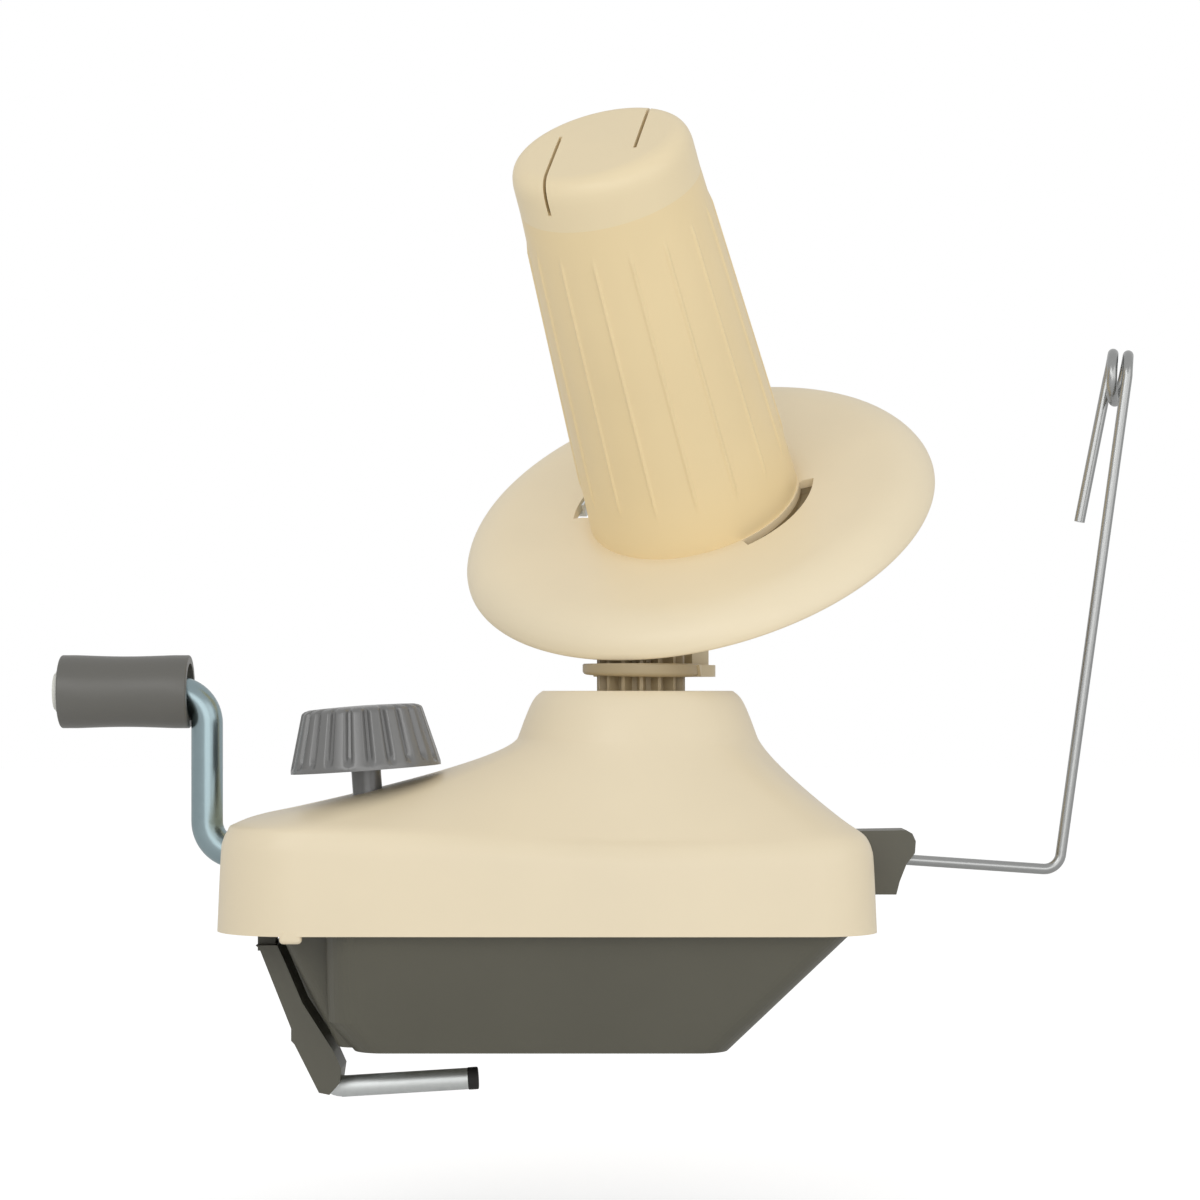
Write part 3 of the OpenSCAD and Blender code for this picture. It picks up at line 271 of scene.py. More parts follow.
def makeCover():
    # outer wall, rolled top edge to the neck's hole, inner wall back down, closed at the seam
    s = coverShape
    outer, inner = coverPoints(0), coverPoints(s["wall"])
    n = outer.shape[1]
    reach = outer[-1][:, :2] + [s["collarShift"], 0]
    unit = reach / np.linalg.norm(reach, axis=1)[:, None]
    rim = lambda radius, z: np.column_stack([unit * radius, np.full(n, z)])
    hole, roll, top = s["neckHole"], s["neckRoll"], s["collarTop"]
    rows = np.concatenate([
        outer, [rim(hole + roll, top)], [rim(hole, top - roll)], [rim(hole, s["collarInside"])], inner[::-1],
    ])
    faces = [tuple(f) for f in gridFaces(len(rows), n)]
    last = (len(rows) - 1) * n
    faces += [(k, last + k, last + (k + 1) % n, (k + 1) % n) for k in range(n)]
    return softShade(addMesh("coverShell", rows.reshape(-1, 3), faces), 40)


finishPiece(makeCover(), "housing", "cover_cream", "top_cover")

# The small lug under the cover's left end
lugShape = {"x": (-81.4, -76.4), "y": (-44.4, -41.8), "z": (25.7, 28.2), "round": 0.9}


def makeLug():
    # a squared oval carried down z: |x|^4 + |y|^4 = 1, drawn in at the lower end
    g = lugShape
    a = np.linspace(0, 2 * np.pi, 48, endpoint=False)
    squared = lambda v: np.sign(v) * np.abs(v) ** 0.5
    outline = np.stack([squared(np.cos(a)), squared(np.sin(a))], 1)
    half = np.array([g["x"][1] - g["x"][0], g["y"][1] - g["y"][0]]) / 2
    middle = np.array([sum(g["x"]), sum(g["y"])]) / 2
    turn = np.radians(np.linspace(0, 90, 7))
    inset = np.concatenate([g["round"] * (1 - np.sin(turn)), [0]])
    height = np.concatenate([g["z"][0] + g["round"] * (1 - np.cos(turn)), [g["z"][1]]])
    rows = [np.column_stack([middle + outline * (half - i), np.full(48, z)]) for i, z in zip(inset, height)]
    faces = [tuple(q) for q in gridFaces(len(rows), 48)]
    faces += [tuple(range(48))[::-1], tuple((len(rows) - 1) * 48 + k for k in range(48))]
    return softShade(addMesh("coverLug", np.concatenate(rows), faces), 40)


finishPiece(makeLug(), "housing", "cover_cream")
print("cover made")

headShape = {"tilt": 36, "leanTurn": 245.7, "crossing": 174}


def toHead(p):
    # from the cone's own axis (up = z, zero at the crossing point) to the machine's frame
    h = headShape
    return turnZ(turnY(p, h["tilt"]), h["leanTurn"]) + [0, 0, h["crossing"]]


def arcCorner(profile, radius, steps=5):
    # rounds each inner corner of an open profile with a quadratic curve that starts radius before it
    p = np.asarray(profile, float)
    out = [p[0]]
    for before, at, after in zip(p, p[1:], p[2:]):
        r = min(radius, np.linalg.norm(at - before) * 0.45, np.linalg.norm(after - at) * 0.45)
        start = at + (before - at) / np.linalg.norm(before - at) * r
        end = at + (after - at) / np.linalg.norm(after - at) * r
        for u in np.linspace(0, 1, steps):
            out.append(start * (1 - u) ** 2 + at * 2 * u * (1 - u) + end * u * u)
    return np.array(out + [p[-1]])


def latheLoop(profile, angles):
    # a closed (radius, height) outline swept round z: x = r cos a, y = r sin a; the outline runs
    # anticlockwise seen with r to the right, which makes the faces point out
    r, z = profile[:, :1], profile[:, 1:]
    a = angles[None, :]
    return np.stack([r * np.cos(a), r * np.sin(a), z + 0 * a], -1)


def loopFaces(rows, cols, keep=None):
    # quads between each outline point and the next, the last joined to the first
    r, c = np.meshgrid(np.arange(rows), np.arange(cols), indexing="ij")
    r2, c2 = (r + 1) % rows, (c + 1) % cols
    quads = np.stack([r * cols + c, r * cols + c2, r2 * cols + c2, r2 * cols + c], -1)
    return quads.reshape(-1, 4) if keep is None else quads[keep]


# The collar round the fixed gear, in the gear cream that is darkened as painted shade
collarShape = {
    "bore": 10.95, "radius": 13.9, "low": 85.5, "top": 88.75, "round": 1.1, "slant": 0.9, "slantTo": 300,
}


def makeCollar():
    # a low ring round the fixed gear, x = r cos a and y = r sin a, with a rounded lower edge; its lower
    # side rises by slant (1 - cos(a - slantTo)) / 2 away from the front
    c = collarShape
    a = 2 * np.pi * np.arange(120) / 120
    turn = np.radians(np.linspace(0, 90, 7))
    roll = c["round"]
    foot = np.column_stack([c["radius"] - roll + roll * np.sin(turn), c["low"] + roll * (1 - np.cos(turn))])
    profile = np.concatenate([
        [(c["bore"], c["top"]), (c["bore"], c["low"] + 0.3), (c["bore"] + 0.3, c["low"])], foot,
        [(c["radius"], c["top"] - 0.3), (c["radius"] - 0.3, c["top"])],
    ])
    points = latheLoop(profile, a)
    share = np.clip((c["top"] - profile[:, 1:]) / (c["top"] - c["low"]), 0, 1)
    points[:, :, 2] += c["slant"] * share * (1 - np.cos(a - np.radians(c["slantTo"]))) / 2
    faces = [tuple(q) for q in loopFaces(len(profile), len(a))]
    return softShade(addMesh("gearCollar", points.reshape(-1, 3), faces), 40)


finishPiece(makeCollar(), "flyer", "gear_cream")
print("collar made")

# The disc, with its two arc slots and the teeth inside its rim
discShape = {
    "edgeRadius": 59.6, "edge": -61.6, "top": -54.2, "skin": 1.9, "hub": -59.3, "hubRadius": 7.05,
    "bushRadius": 4.65, "flatRadius": 25.3, "slopeRun": 24.7, "slopeRise": 1.2, "columns": 360,
    "slotIn": 26.9, "slotOut": 30.6, "slotStarts": (45, 225), "slotSpan": 60,
    "teeth": 86, "toothTop": -56.9, "toothFoot": -61.1, "rootHeight": 10.95,
}


def ringRadius(h, w):
    # radius at height w of a wall that stands upright h from the spindle on the low side
    t = math.radians(headShape["tilt"])
    return (h - w * math.sin(t)) / math.cos(t)


def makeDisc():
    # the disc's outline swept round, x = r cos a and y = r sin a, with the quads of the slots left out
    # and the slots lined with walls; the inner wall that carries the teeth follows ringRadius
    d = discShape
    lo, top, t, edge = d["edge"], d["top"], d["skin"], d["edgeRadius"]
    high, foot, flat = d["toothTop"], d["toothFoot"], d["flatRadius"]
    rootHigh, rootLow = ringRadius(d["rootHeight"], high), ringRadius(d["rootHeight"], foot)
    underside = lambda r: (top - t - 0.8) + (r - flat) / d["slopeRun"] * d["slopeRise"]
    rim = arcCorner([
        (rootLow, foot), (rootLow + 0.1, lo), (edge - 0.4, lo), (edge, lo + 0.5), (edge - 0.1, lo + 1.6),
        (edge - 0.9, lo + 3.3), (edge - 2.3, lo + 5), (edge - 4.4, lo + 6.5), (edge - 7.2, lo + 7.5),
        (edge - 10.4, lo + 7.9), (40, -54.05),
    ], 2.2, 4)
    profile = np.array([
        (d["bushRadius"], d["hub"]), (d["hubRadius"], d["hub"]),
        (d["hubRadius"], top - t - 0.8), (flat, top - t - 0.8),
        (d["slotIn"], underside(d["slotIn"])), (d["slotOut"], underside(d["slotOut"])),
        (40, underside(40)), (50, underside(50)), (rootHigh, high), *rim,
        (d["slotOut"], -54.41), (28.3, -54.5), (d["slotIn"], -54.85),
        (26.3, top - 0.8), (d["bushRadius"], top - 0.8),
    ])
    cols = d["columns"]
    angles = np.radians(np.arange(cols))
    points = latheLoop(profile, angles)
    rows = len(profile)
    inSlot = np.zeros(cols, bool)
    for start in d["slotStarts"]:
        inSlot[start:start + d["slotSpan"]] = True
    low = 4
    outTop = rows - 5
    inTop = rows - 3
    keep = np.ones((rows, cols), bool)
    keep[low, inSlot] = False
    keep[outTop:inTop, :][:, inSlot] = False
    faces = [tuple(f) for f in loopFaces(rows, cols, keep)]
    at = lambda r, c: r * cols + c % cols
    for start in d["slotStarts"]:
        end = start + d["slotSpan"]
        for c in range(start, end):
            faces.append((at(low, c), at(inTop, c), at(inTop, c + 1), at(low, c + 1))[::-1])
            faces.append((at(low + 1, c), at(low + 1, c + 1), at(outTop, c + 1), at(outTop, c))[::-1])
        wallRows = (low, low + 1, outTop, outTop + 1, inTop)
        faces.append(tuple(at(r, start) for r in wallRows[::-1]))
        faces.append(tuple(at(r, end) for r in wallRows))
    verts = [points.reshape(-1, 3)]
    count = rows * cols
    # each tooth is a tapered bar between the rim's slanted inner wall and the crest's
    corner = [(8.75, -0.42), (9.6, -0.78), (11.2, -1.0), (11.2, 1.0), (9.6, 0.78), (8.75, 0.42)]
    bar = np.array([[(ringRadius(h, w), y, w) for h, y in corner] for w in (foot, high)]).reshape(-1, 3)
    side = [(k, (k + 1) % 6, 6 + (k + 1) % 6, 6 + k) for k in range(6)]
    for k in range(d["teeth"]):
        verts.append(turnZ(bar, (k + 0.5) * 360 / d["teeth"]))
        faces += [tuple(count + i for i in f) for f in side + [(5, 4, 3, 2, 1, 0), (6, 7, 8, 9, 10, 11)]]
        count += 12
    return softShade(addMesh("discAndRing", toHead(np.concatenate(verts)), faces), 32)


finishPiece(makeDisc(), "head", "disc_cream", "winding_disc")

# A trough under the right slot in the darkened gear cream: a dark piece that stands as painted shade for the
# dark seen through the slot
shadePocketShape = {"from": 45, "span": 60, "in": 24.9, "out": 31.6, "low": -59.2, "floor": -58.4, "high": -56.6}


def makeShadePocket():
    # a trough bent round the spindle, x = r cos a and y = r sin a, whose bottom lies at floor
    # between the slot's two ends and rises to high beyond them
    p = shadePocketShape
    a = np.arange(p["from"] - 3, p["from"] + p["span"] + 4)
    floor = np.where((a > p["from"] - 1) & (a < p["from"] + p["span"] + 1), p["floor"], p["high"] - 0.05)
    ring = lambda r, w: np.stack([r * np.cos(np.radians(a)), r * np.sin(np.radians(a)), w + 0 * a], 1)
    inner, outer = discShape["slotIn"] - 0.15, discShape["slotOut"] + 0.15
    rows = [
        ring(p["in"], p["low"]), ring(p["out"], p["low"]), ring(p["out"], p["high"]), ring(outer, p["high"]),
        ring(outer, floor), ring(inner, floor), ring(inner, p["high"]), ring(p["in"], p["high"]),
    ]
    cols = len(a)
    at = lambda k, c: k % 8 * cols + c
    faces = [(at(k, c + 1), at(k + 1, c + 1), at(k + 1, c), at(k, c)) for k in range(8) for c in range(cols - 1)]
    faces += [tuple(at(k, 0) for k in range(8)), tuple(at(k, cols - 1) for k in range(7, -1, -1))]
    return softShade(addMesh("slotPaintedShade", toHead(np.concatenate(rows)), faces), 32)


# the darker gear cream on this trough is painted shade
finishPiece(makeShadePocket(), "head", "gear_cream")
print("disc made")

# The cone with its raised lines, and its cap
coneShape = {
    "foot": -55.0, "capLine": 31, "baseRadius": 26.3, "topRadius": 21.6, "wall": 2.2,
    "ribs": 16, "ribAt": 4.6, "ribHeight": 0.42, "ribHalfWidth": 0.75, "ribStart": 11, "ribEnd": 7,
}


def makeCone():
    # radius falls in a straight line from the foot to the cap; each raised line adds a cosine bump
    # across a few degrees, faded in and out at its ends
    c = coneShape
    step = 360 / c["ribs"]
    near = np.array([-2.1, -1.5, -1.1, -0.75, -0.4, 0, 0.4, 0.75, 1.1, 1.5])
    wide = np.linspace(2.1, step - 2.1, 9)[:-1]
    offsets = np.concatenate([near, wide])
    angles = np.radians((c["ribAt"] + np.arange(c["ribs"])[:, None] * step + offsets[None, :]).ravel())
    rib = np.tile(np.concatenate([near, wide]), c["ribs"])
    w = np.concatenate([[c["foot"], c["foot"] + 0.5], np.linspace(c["foot"] + 2, c["capLine"], 60)])
    f = (w - c["foot"]) / (c["capLine"] - c["foot"])
    radius = c["baseRadius"] + (c["topRadius"] - c["baseRadius"]) * f
    fadeIn = np.clip((w - c["foot"] - c["ribStart"]) / 3, 0, 1)
    fadeOut = np.clip((c["capLine"] - c["ribEnd"] - w) / 3, 0, 1)
    distance = np.radians(np.abs(rib))[None, :] * radius[:, None]
    bump = np.where(distance < c["ribHalfWidth"], 0.5 + 0.5 * np.cos(np.pi * distance / c["ribHalfWidth"]), 0)
    outer = radius[:, None] + c["ribHeight"] * bump * (fadeIn * fadeOut)[:, None]
    inner = np.array([c["topRadius"] - c["wall"], c["baseRadius"] - c["wall"] - 1.2])
    rows = [np.stack([outer * np.cos(angles), outer * np.sin(angles), w[:, None] + 0 * outer], -1)]
    rows.append(latheLoop(np.array([[inner[0], c["capLine"]], [inner[1], c["foot"]]]), angles))
    points = np.concatenate(rows)
    faces = [tuple(q) for q in loopFaces(len(points), len(angles))]
    return softShade(addMesh("coneShell", toHead(points.reshape(-1, 3)), faces), 40)


finishPiece(makeCone(), "head", "cone_cream", "winding_cone")

capShape = {
    "top": 43, "line": 31, "radius": 21.6, "wall": 2.2, "columns": 144,
    "slitAt": (4.6, 11), "slitTurn": 10.5, "slitLength": 28, "slitWidth": 0.8, "slitDeep": 8,
}


def slitBoxes():
    # two long thin boxes, half a turn apart: each starts at slitAt on the lid's top and runs out
    # past the rim along slitTurn + 180 degrees, as deep as the slit
    c = capShape
    half, heights = c["slitWidth"] / 2, [c["top"] - c["slitDeep"], c["top"] + 8]
    x, y, z = np.meshgrid([0, c["slitLength"]], [-half, half], heights, indexing="ij")
    box = turnZ(np.stack([x, y, z], -1).reshape(-1, 3), 180 + c["slitTurn"]) + [*c["slitAt"], 0]
    sides = [(0, 1, 3, 2), (4, 6, 7, 5), (0, 4, 5, 1), (2, 3, 7, 6), (0, 2, 6, 4), (1, 5, 7, 3)]
    verts = np.concatenate([box, turnZ(box, 180)])
    return addMesh("slitBoxes", toHead(verts), sides + [tuple(8 + k for k in f) for f in sides], False)


def makeCap():
    # a round lid whose edge rolls over: a closed outline swept round, x = r cos a and y = r sin a,
    # less the two slit boxes
    c = capShape
    r, t, top, line = c["radius"], c["wall"], c["top"], c["line"]
    outside = arcCorner([
        (r, line), (r - 0.15, top - 5), (r - 0.5, top - 3.2), (r - 1.3, top - 1.7),
        (r - 2.6, top - 0.7), (r - 4.4, top - 0.2), (0.01, top),
    ], 1.6, 5)
    profile = np.concatenate([
        [(r - t, line)], outside,
        [(0.01, top - t), (r - 4.6, top - t - 0.3), (r - t - 0.4, top - 4), (r - t - 2, line + 2)],
        [(r - t - 2, line - 3), (r - t, line - 3)],
    ])
    points = latheLoop(profile, 2 * np.pi * np.arange(c["columns"]) / c["columns"])
    faces = [tuple(q) for q in loopFaces(len(profile), c["columns"])]
    lid = addMesh("capLid", toHead(points.reshape(-1, 3)), faces)
    cutter = slitBoxes()
    cut = lid.modifiers.new("slits", "BOOLEAN")
    cut.object = cutter
    cut.operation = "DIFFERENCE"
    cut.solver = "EXACT"
    bpy.context.view_layer.update()
    whole = lid.evaluated_get(bpy.context.evaluated_depsgraph_get())
    lid.data = bpy.data.meshes.new_from_object(whole)
    lid.modifiers.clear()
    bpy.data.objects.remove(cutter)
    lid.data.polygons.foreach_set("use_smooth", [True] * len(lid.data.polygons))
    return softShade(lid, 40)


lid = finishPiece(makeCap(), "head", "cover_cream", "cone_cap")
lid.data.materials[0] = finishes["cap_cream"]
print("cone made")


def smoothTube(path, radius, sides, roundEnds=(False, False)):
    # a circle carried along the path; its frame turns only as the path turns, so it never twists.
    # radius may be one number or one per point; round ends close on a half sphere
    path = np.asarray(path, float)
    radius = np.broadcast_to(np.asarray(radius, float), len(path)).copy()
    for end, on in enumerate(roundEnds):
        if on:
            k, j = (0, 1) if end == 0 else (-1, -2)
            tip = (path[k] - path[j]) / np.linalg.norm(path[k] - path[j])
            a = np.radians([18, 36, 54, 72, 86])
            extra = path[k] - tip * radius[k] + tip * (radius[k] * np.sin(a))[:, None]
            size = radius[k] * np.cos(a)
            path[k] = path[k] - tip * radius[k]
            path = np.concatenate([extra[::-1], path] if end == 0 else [path, extra])
            radius = np.concatenate([size[::-1], radius] if end == 0 else [radius, size])
    d = np.gradient(path, axis=0)
    d /= np.linalg.norm(d, axis=1)[:, None]
    u = np.cross(d[0], [0.31, 0.87, 0.2])
    u /= np.linalg.norm(u)
    frames = [u]
    for a in d[1:]:
        u = u - a * np.dot(u, a)
        u /= np.linalg.norm(u)
        frames.append(u)
    u = np.array(frames)
    v = np.cross(d, u)
    a = np.linspace(0, 2 * np.pi, sides, endpoint=False)
    ring = np.cos(a)[None, :, None] * u[:, None] + np.sin(a)[None, :, None] * v[:, None]
    points = path[:, None] + ring * radius[:, None, None]
    faces = [tuple(q) for q in gridFaces(len(path), sides)]
    faces += [tuple(range(sides))[::-1], tuple((len(path) - 1) * sides + k for k in range(sides))]
    return points.reshape(-1, 3), faces


def arcPath(cx, cz, r, a0, a1):
    # 18 points of a circle about (cx, cz) in the xz plane, from a0 to a1 degrees
    a = np.radians(np.linspace(a0, a1, 18))
    return np.stack([cx + r * np.cos(a), 0 * a, cz + r * np.sin(a)], 1)


# The crank's rod and the wire guide
crankShape = {
    "height": 43.7, "throw": 38.4, "bend": 7.6, "armX": 103.3, "endX": 5.4, "gripLeft": 137.9, "radius": 3.75,
}


def makeCrank():
    # a circle carried out along x, up the arm and out again, with a quarter circle at each bend
    c = crankShape
    z, b, x = c["height"], c["bend"], c["armX"]
    path = np.concatenate([
        [(-c["endX"], 0, z), (-50, 0, z)], arcPath(-x + b, z + b, b, 270, 180),
        arcPath(-x - b, z + c["throw"] - b, b, 0, 90), [(-c["gripLeft"] - 0.1, 0, z + c["throw"])],
    ])
    return softShade(addMesh("crankRod", *smoothTube(path, c["radius"], 40)), 40)


finishPiece(makeCrank(), "crank", "zinc_rod", "crank_rod")

guideShape = {
    "from": (54.5, 0, 42.7), "slope": 3.9, "lean": 7.9, "turnX": 99.8, "bend": 4, "upright": 115, "radius": 1.3,
    "eyeRadius": 5.6, "eyePitch": 3.6, "eyeYaw": 14, "freeLeg": 35, "freeLean": 3.4,
}


def makeGuide():
    # lower leg, quarter bend, upright, one and a half turns of a helix about x, then the free leg down
    g = guideShape
    leg = g["turnX"] - g["from"][0]
    sweep = 90 - g["lean"] + g["slope"]
    lower = np.concatenate([
        [(0, 0, 0), (leg - g["bend"] - 1, 0, 0)],
        arcPath(leg - g["bend"], g["bend"], g["bend"], 270, 270 + sweep),
    ])
    a = np.radians(180 - 540 * np.linspace(0, 1, 110))
    x = -g["eyePitch"] * 1.5 * np.linspace(0, 1, 110)
    coil = np.stack([x, g["eyeRadius"] * (1 + np.cos(a)), g["eyeRadius"] * np.sin(a)], 1)
    free = coil[-1] + np.linspace(0.04, 1, 8)[:, None] * g["freeLeg"] * np.array(
        [-math.sin(math.radians(g["freeLean"])), 0, -math.cos(math.radians(g["freeLean"]))])
    eye = turnZ(np.concatenate([coil, free]), -g["eyeYaw"]) + [g["bend"], 0, g["upright"]]
    rise = np.array([[g["bend"], 0, z] for z in np.linspace(3, g["upright"] - 1.5, 12)])
    upper = turnY(np.concatenate([rise, eye]), 90 - sweep) + [leg - g["bend"], 0, g["bend"]]
    path = turnY(np.concatenate([lower, upper]), g["slope"]) + g["from"]
    return softShade(addMesh("guideWire", *smoothTube(path, g["radius"] - 0.03, 24)), 40)


finishPiece(makeGuide(), "guide", "wire_steel", "guide_wire")
print("rods made")

# The clamp's knob
clampAxis = {"tilt": -4, "at": (-59.8, -15, 0)}
knobShape = {
    "low": 64.2, "height": 14.3, "skirt": 17.5, "top": 14.1, "flutes": 22, "depth": 1.15,
    "stem": 3.45, "stemLow": 50.5,
}


def toClamp(p):
    # from the clamp screw's own axis to the machine's frame
    return turnY(p, clampAxis["tilt"]) + clampAxis["at"]


def makeKnob():
    # a tapered skirt with a scallop 22 times round, under a rolled top edge: the radius at angle a and
    # height s is radius(s) - depth(s) w^2 (3 - 2 w), with w = 1.25 - 1.6 |sin(11 a)| kept within 0 and 1
    k = knobShape
    h = k["height"]
    s = np.concatenate([[0, 0.4, 0.9, 1.4, 2], np.linspace(3, h - 2, 14), [h - 1.3, h - 0.8]])
    radius = k["skirt"] + (k["top"] - k["skirt"]) * np.clip((s - 0.8) / (h - 1.6), 0, 1)
    depth = k["depth"] * np.clip((s - 0.9) / 1.6, 0, 1)
    cols = k["flutes"] * 14
    a = 2 * np.pi * np.arange(cols) / cols
    # a flute is centred at each multiple of one turn over the count, with a flat land between
    wave = np.clip(1.25 - 1.6 * np.abs(np.sin(a * k["flutes"] / 2)), 0, 1)
    outer = radius[:, None] - depth[:, None] * (wave * wave * (3 - 2 * wave))[None, :]
    side = np.stack([outer * np.cos(a), outer * np.sin(a), k["low"] + s[:, None] + 0 * outer], -1)
    # the top rolls in to a slightly domed face
    rolled = []
    for drop, up in ((0.2, 0.35), (0.8, 0.75), (1.9, 1.05)):
        edge = np.minimum(outer[-1], k["top"]) - drop
        rolled.append(np.stack([edge * np.cos(a), edge * np.sin(a), np.full(cols, k["low"] + h - 0.8 + up)], -1))
    face = latheLoop(np.array([(9, h + 0.42), (4, h + 0.55), (0.01, h + 0.6)]) + [0, k["low"]], a)
    under = latheLoop(np.array([
        (0.01, k["stemLow"]), (k["stem"] - 0.4, k["stemLow"]), (k["stem"], k["stemLow"] + 0.5),
        (k["stem"], k["low"] + 1), (k["stem"] + 1.5, k["low"] + 1),
        (k["stem"] + 1.5, k["low"] + h - 4), (k["top"] - 3, k["low"] + h - 2.6), (k["skirt"] - 2.6, k["low"]),
    ]), a)
    points = np.concatenate([under, side, np.stack(rolled), face])
    faces = [tuple(q) for q in loopFaces(len(points), cols)]
    return softShade(addMesh("clampKnob", toClamp(points.reshape(-1, 3)), faces), 38)


finishPiece(makeKnob(), "knob", "knob_grey", "clamp_knob")

# The tub's front edge beside the jaw
bowShape = {
    "radius": 3, "path": ((-84.6, 25), (-82.2, 20.8), (-79.6, 15.8), (-76.8, 9.9), (-74.5, 5.6), (-72.2, 1.4)),
}


def makeBow():
    # a circle carried along a smooth curve, closed on half spheres
    points = smoothRows(np.array([(x, 0, z) for x, z in bowShape["path"]], float), 8)
    return softShade(addMesh("tubBow", *smoothTube(points, bowShape["radius"], 40, (True, True))), 40)


finishPiece(makeBow(), "housing", "base_grey")

# The crank's grip
gripShape = {
    "from": -137.9, "to": -107.3, "radius": 8.7, "waist": 0.3, "edge": 0.45, "bore": 3.8, "mouth": 6.75,
}


def makeGrip():
    # a handle slightly thinner at its middle, with rolled edges: the radius along the body is
    # radius - waist cos(half a turn across its length)^1.2, swept round x
    g = gripShape
    half = (g["to"] - g["from"]) / 2
    s = np.linspace(-half + 3.5, half - 3.5, 30)
    radii = g["radius"] - g["waist"] * np.cos(np.pi * s / (2 * (half - 3.5))) ** 1.2
    body = np.column_stack([radii, s])
    edge = np.radians(np.linspace(0, 90, 7))
    e = g["edge"]
    near = np.column_stack([g["radius"] - e + e * np.sin(edge), -half + e - e * np.cos(edge)])
    far = np.column_stack([g["radius"] - e + e * np.cos(edge), half - e + e * np.sin(edge)])
    profile = np.concatenate([
        [(g["bore"], -half), (5.4, -half), (5.4, -half + 2), (6.9, -half + 2), (6.9, -half)], near, body, far,
        [(g["mouth"], half), (g["mouth"], half - 3.9), (g["bore"], half - 3.9)],
    ])
    a = np.radians(np.arange(0, 360, 4))
    points = latheLoop(profile, a).reshape(-1, 3)
    up = crankShape["height"] + crankShape["throw"]
    placed = np.stack([points[:, 2] + (g["to"] + g["from"]) / 2, -points[:, 1], points[:, 0] + up], 1)
    faces = [tuple(q) for q in loopFaces(len(profile), len(a))]
    return softShade(addMesh("crankGrip", placed, faces), 40)


finishPiece(makeGrip(), "grip", "grip_grey", "crank_grip")

# The tip on the clamp's rod
tipShape = {
    "turnX": -73.1, "side": -15, "turnZ": -10, "rise": 3.5,
    "from": 32.6, "to": 35.08, "radius": 2.62, "edge": 0.35,
}


def makeTip():
    # a short sleeve on the rod's end, x = distance along the rod: a circle swept along it, with edges
    # rolled by a quarter circle
    t = tipShape
    turn = np.radians(np.linspace(0, 90, 6))
    along, across = t["edge"] * (1 - np.cos(turn)), t["edge"] * (1 - np.sin(turn))
    x = np.concatenate([t["from"] + along, t["to"] - across])
    r = np.concatenate([t["radius"] - across, t["radius"] - along])
    points, faces = smoothTube(np.column_stack([x, 0 * x, 0 * x]), r, 40)
    placed = turnY(points, -t["rise"]) + [t["turnX"], t["side"], t["turnZ"]]
    return softShade(addMesh("rodTip", placed, faces), 40)


finishPiece(makeTip(), "jaw", "tip_rubber", "clamp_tip")
print("knob, grip and tip made")

# Camera, light and floor
view = {"x": -0.00976, "y": -0.7, "z": 0.0825, "focalPixels": 2940, "imagePixels": 1200, "horizonPixel": 690}
camera = bpy.data.cameras.new("camera")
camera.sensor_width = 36
camera.lens = 36 * view["focalPixels"] / view["imagePixels"]
camera.shift_y = (view["horizonPixel"] - view["imagePixels"] / 2) / view["imagePixels"]
cameraObject = bpy.data.objects.new("camera", camera)
bpy.context.scene.collection.objects.link(cameraObject)
cameraObject.location = (view["x"], view["y"], view["z"])
cameraObject.rotation_euler = (math.radians(90), 0, 0)
bpy.context.scene.camera = cameraObject

studio = {
    "sky": 0.68, "backdrop": 1, "floorHeight": -0.045, "floorHalf": 4, "floorShade": 0.82, "floorLift": 0.47,
}
world = bpy.data.worlds.new("studio")
world.use_nodes = True
bpy.context.scene.world = world
wt = world.node_tree
soft = wt.nodes["Background"]
soft.inputs["Color"].default_value = (1, 1, 1, 1)
soft.inputs["Strength"].default_value = studio["sky"]
white = wt.nodes.new("ShaderNodeBackground")
white.inputs["Strength"].default_value = studio["backdrop"]
white.inputs["Color"].default_value = (1, 1, 1, 1)
rays = wt.nodes.new("ShaderNodeLightPath")
either = wt.nodes.new("ShaderNodeMath")
either.operation = "MAXIMUM"
mixer = wt.nodes.new("ShaderNodeMixShader")
wt.links.new(rays.outputs["Is Camera Ray"], either.inputs[0])
wt.links.new(rays.outputs["Is Transmission Ray"], either.inputs[1])
wt.links.new(either.outputs[0], mixer.inputs["Fac"])
wt.links.new(soft.outputs[0], mixer.inputs[1])
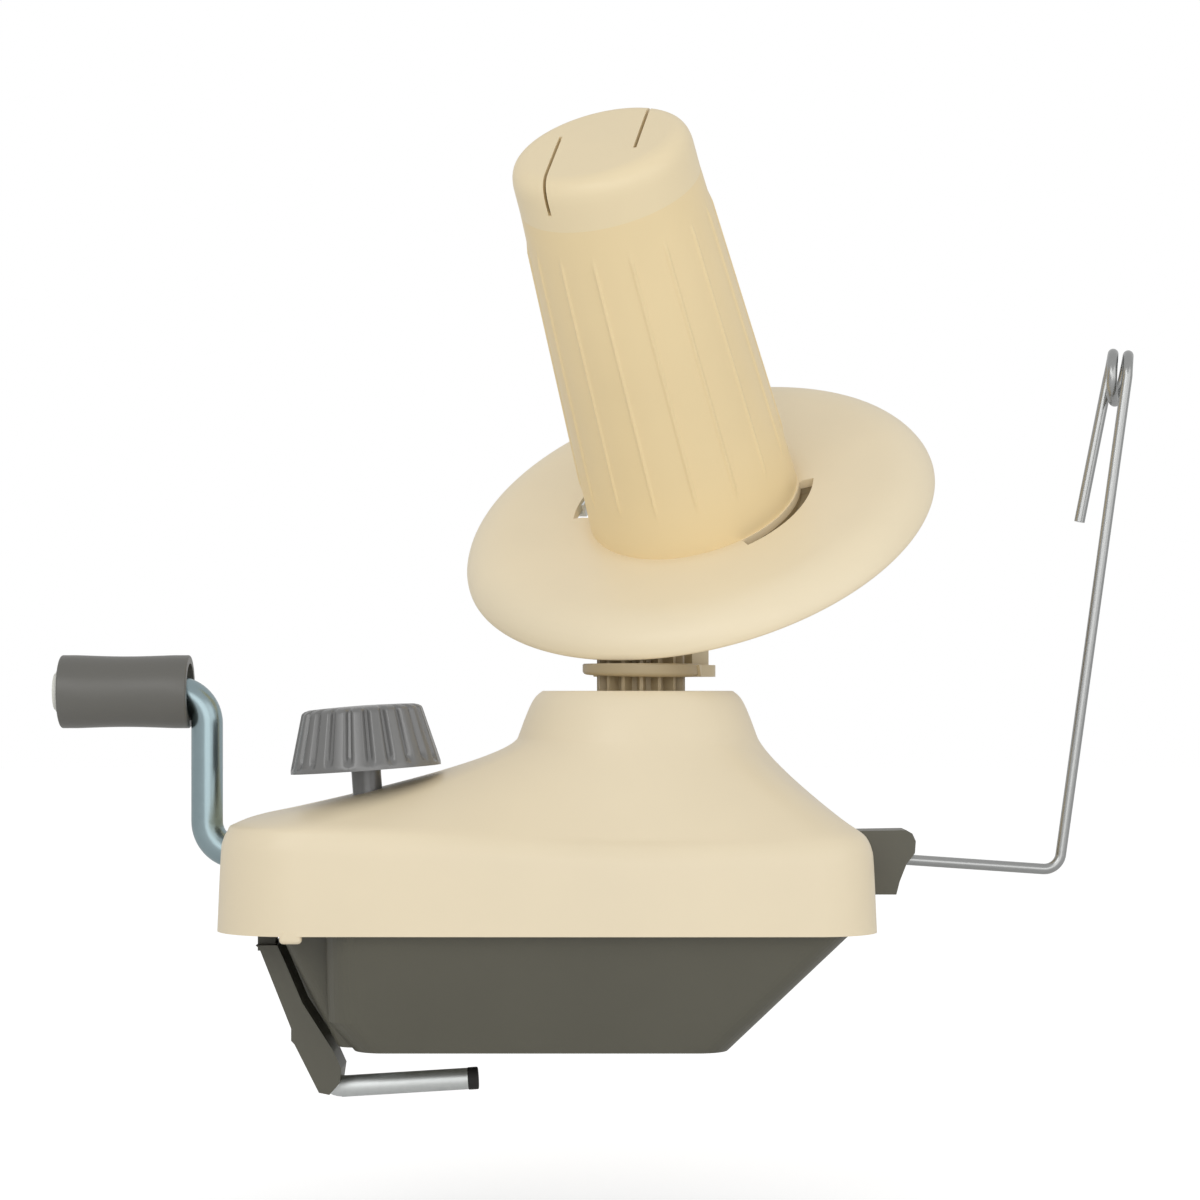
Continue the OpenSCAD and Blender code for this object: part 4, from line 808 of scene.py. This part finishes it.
wt.links.new(white.outputs[0], mixer.inputs[2])
wt.links.new(mixer.outputs[0], wt.nodes["World Output"].inputs["Surface"])

lamps = {
    "key": {"at": (-0.45, -0.85, 0.5), "size": 0.5, "watts": 1.3},
    "fill": {"at": (0.7, -0.6, 0.3), "size": 0.6, "watts": 0.8},
    "front": {"at": (0.1, -1.0, 0.1), "size": 0.8, "watts": 2.0},
}
for name, lamp in lamps.items():
    light = bpy.data.lights.new(name, "AREA")
    light.size = lamp["size"]
    light.energy = lamp["watts"]
    lightObject = bpy.data.objects.new(name, light)
    bpy.context.scene.collection.objects.link(lightObject)
    at = np.array(lamp["at"])
    lightObject.location = at
    toward = np.array([0, 0, 0.08]) - at
    down = math.atan2(math.hypot(toward[0], toward[1]), -toward[2])
    lightObject.rotation_euler = (down, 0, math.atan2(toward[1], toward[0]) - math.pi / 2)

floorMesh = bpy.data.meshes.new("floor")
far, level = studio["floorHalf"], studio["floorHeight"]
floorCorners = [(-far, -far, level), (far, -far, level), (far, far, level), (-far, far, level)]
floorMesh.from_pydata(floorCorners, [], [(0, 1, 2, 3)])
floorObject = bpy.data.objects.new("floor", floorMesh)
bpy.context.scene.collection.objects.link(floorObject)
floorMat = bpy.data.materials.new("paleFloor")
floorMat.use_nodes = True
ft = floorMat.node_tree
matte = ft.nodes["Principled BSDF"]
matte.inputs["Base Color"].default_value = (*[studio["floorShade"]] * 3, 1)
matte.inputs["Roughness"].default_value = 0.9
# lifted to the backdrop's white where the camera sees it unshaded, so that only the shadow shows
seen = ft.nodes.new("ShaderNodeLightPath")
lift = ft.nodes.new("ShaderNodeMath")
lift.operation = "MULTIPLY"
lift.inputs[1].default_value = studio["floorLift"]
ft.links.new(seen.outputs["Is Camera Ray"], lift.inputs[0])
matte.inputs["Emission Color"].default_value = (1, 1, 1, 1)
ft.links.new(lift.outputs[0], matte.inputs["Emission Strength"])
floorMesh.materials.append(floorMat)
bpy.context.scene.view_settings.view_transform = "Standard"

print("scene ready")
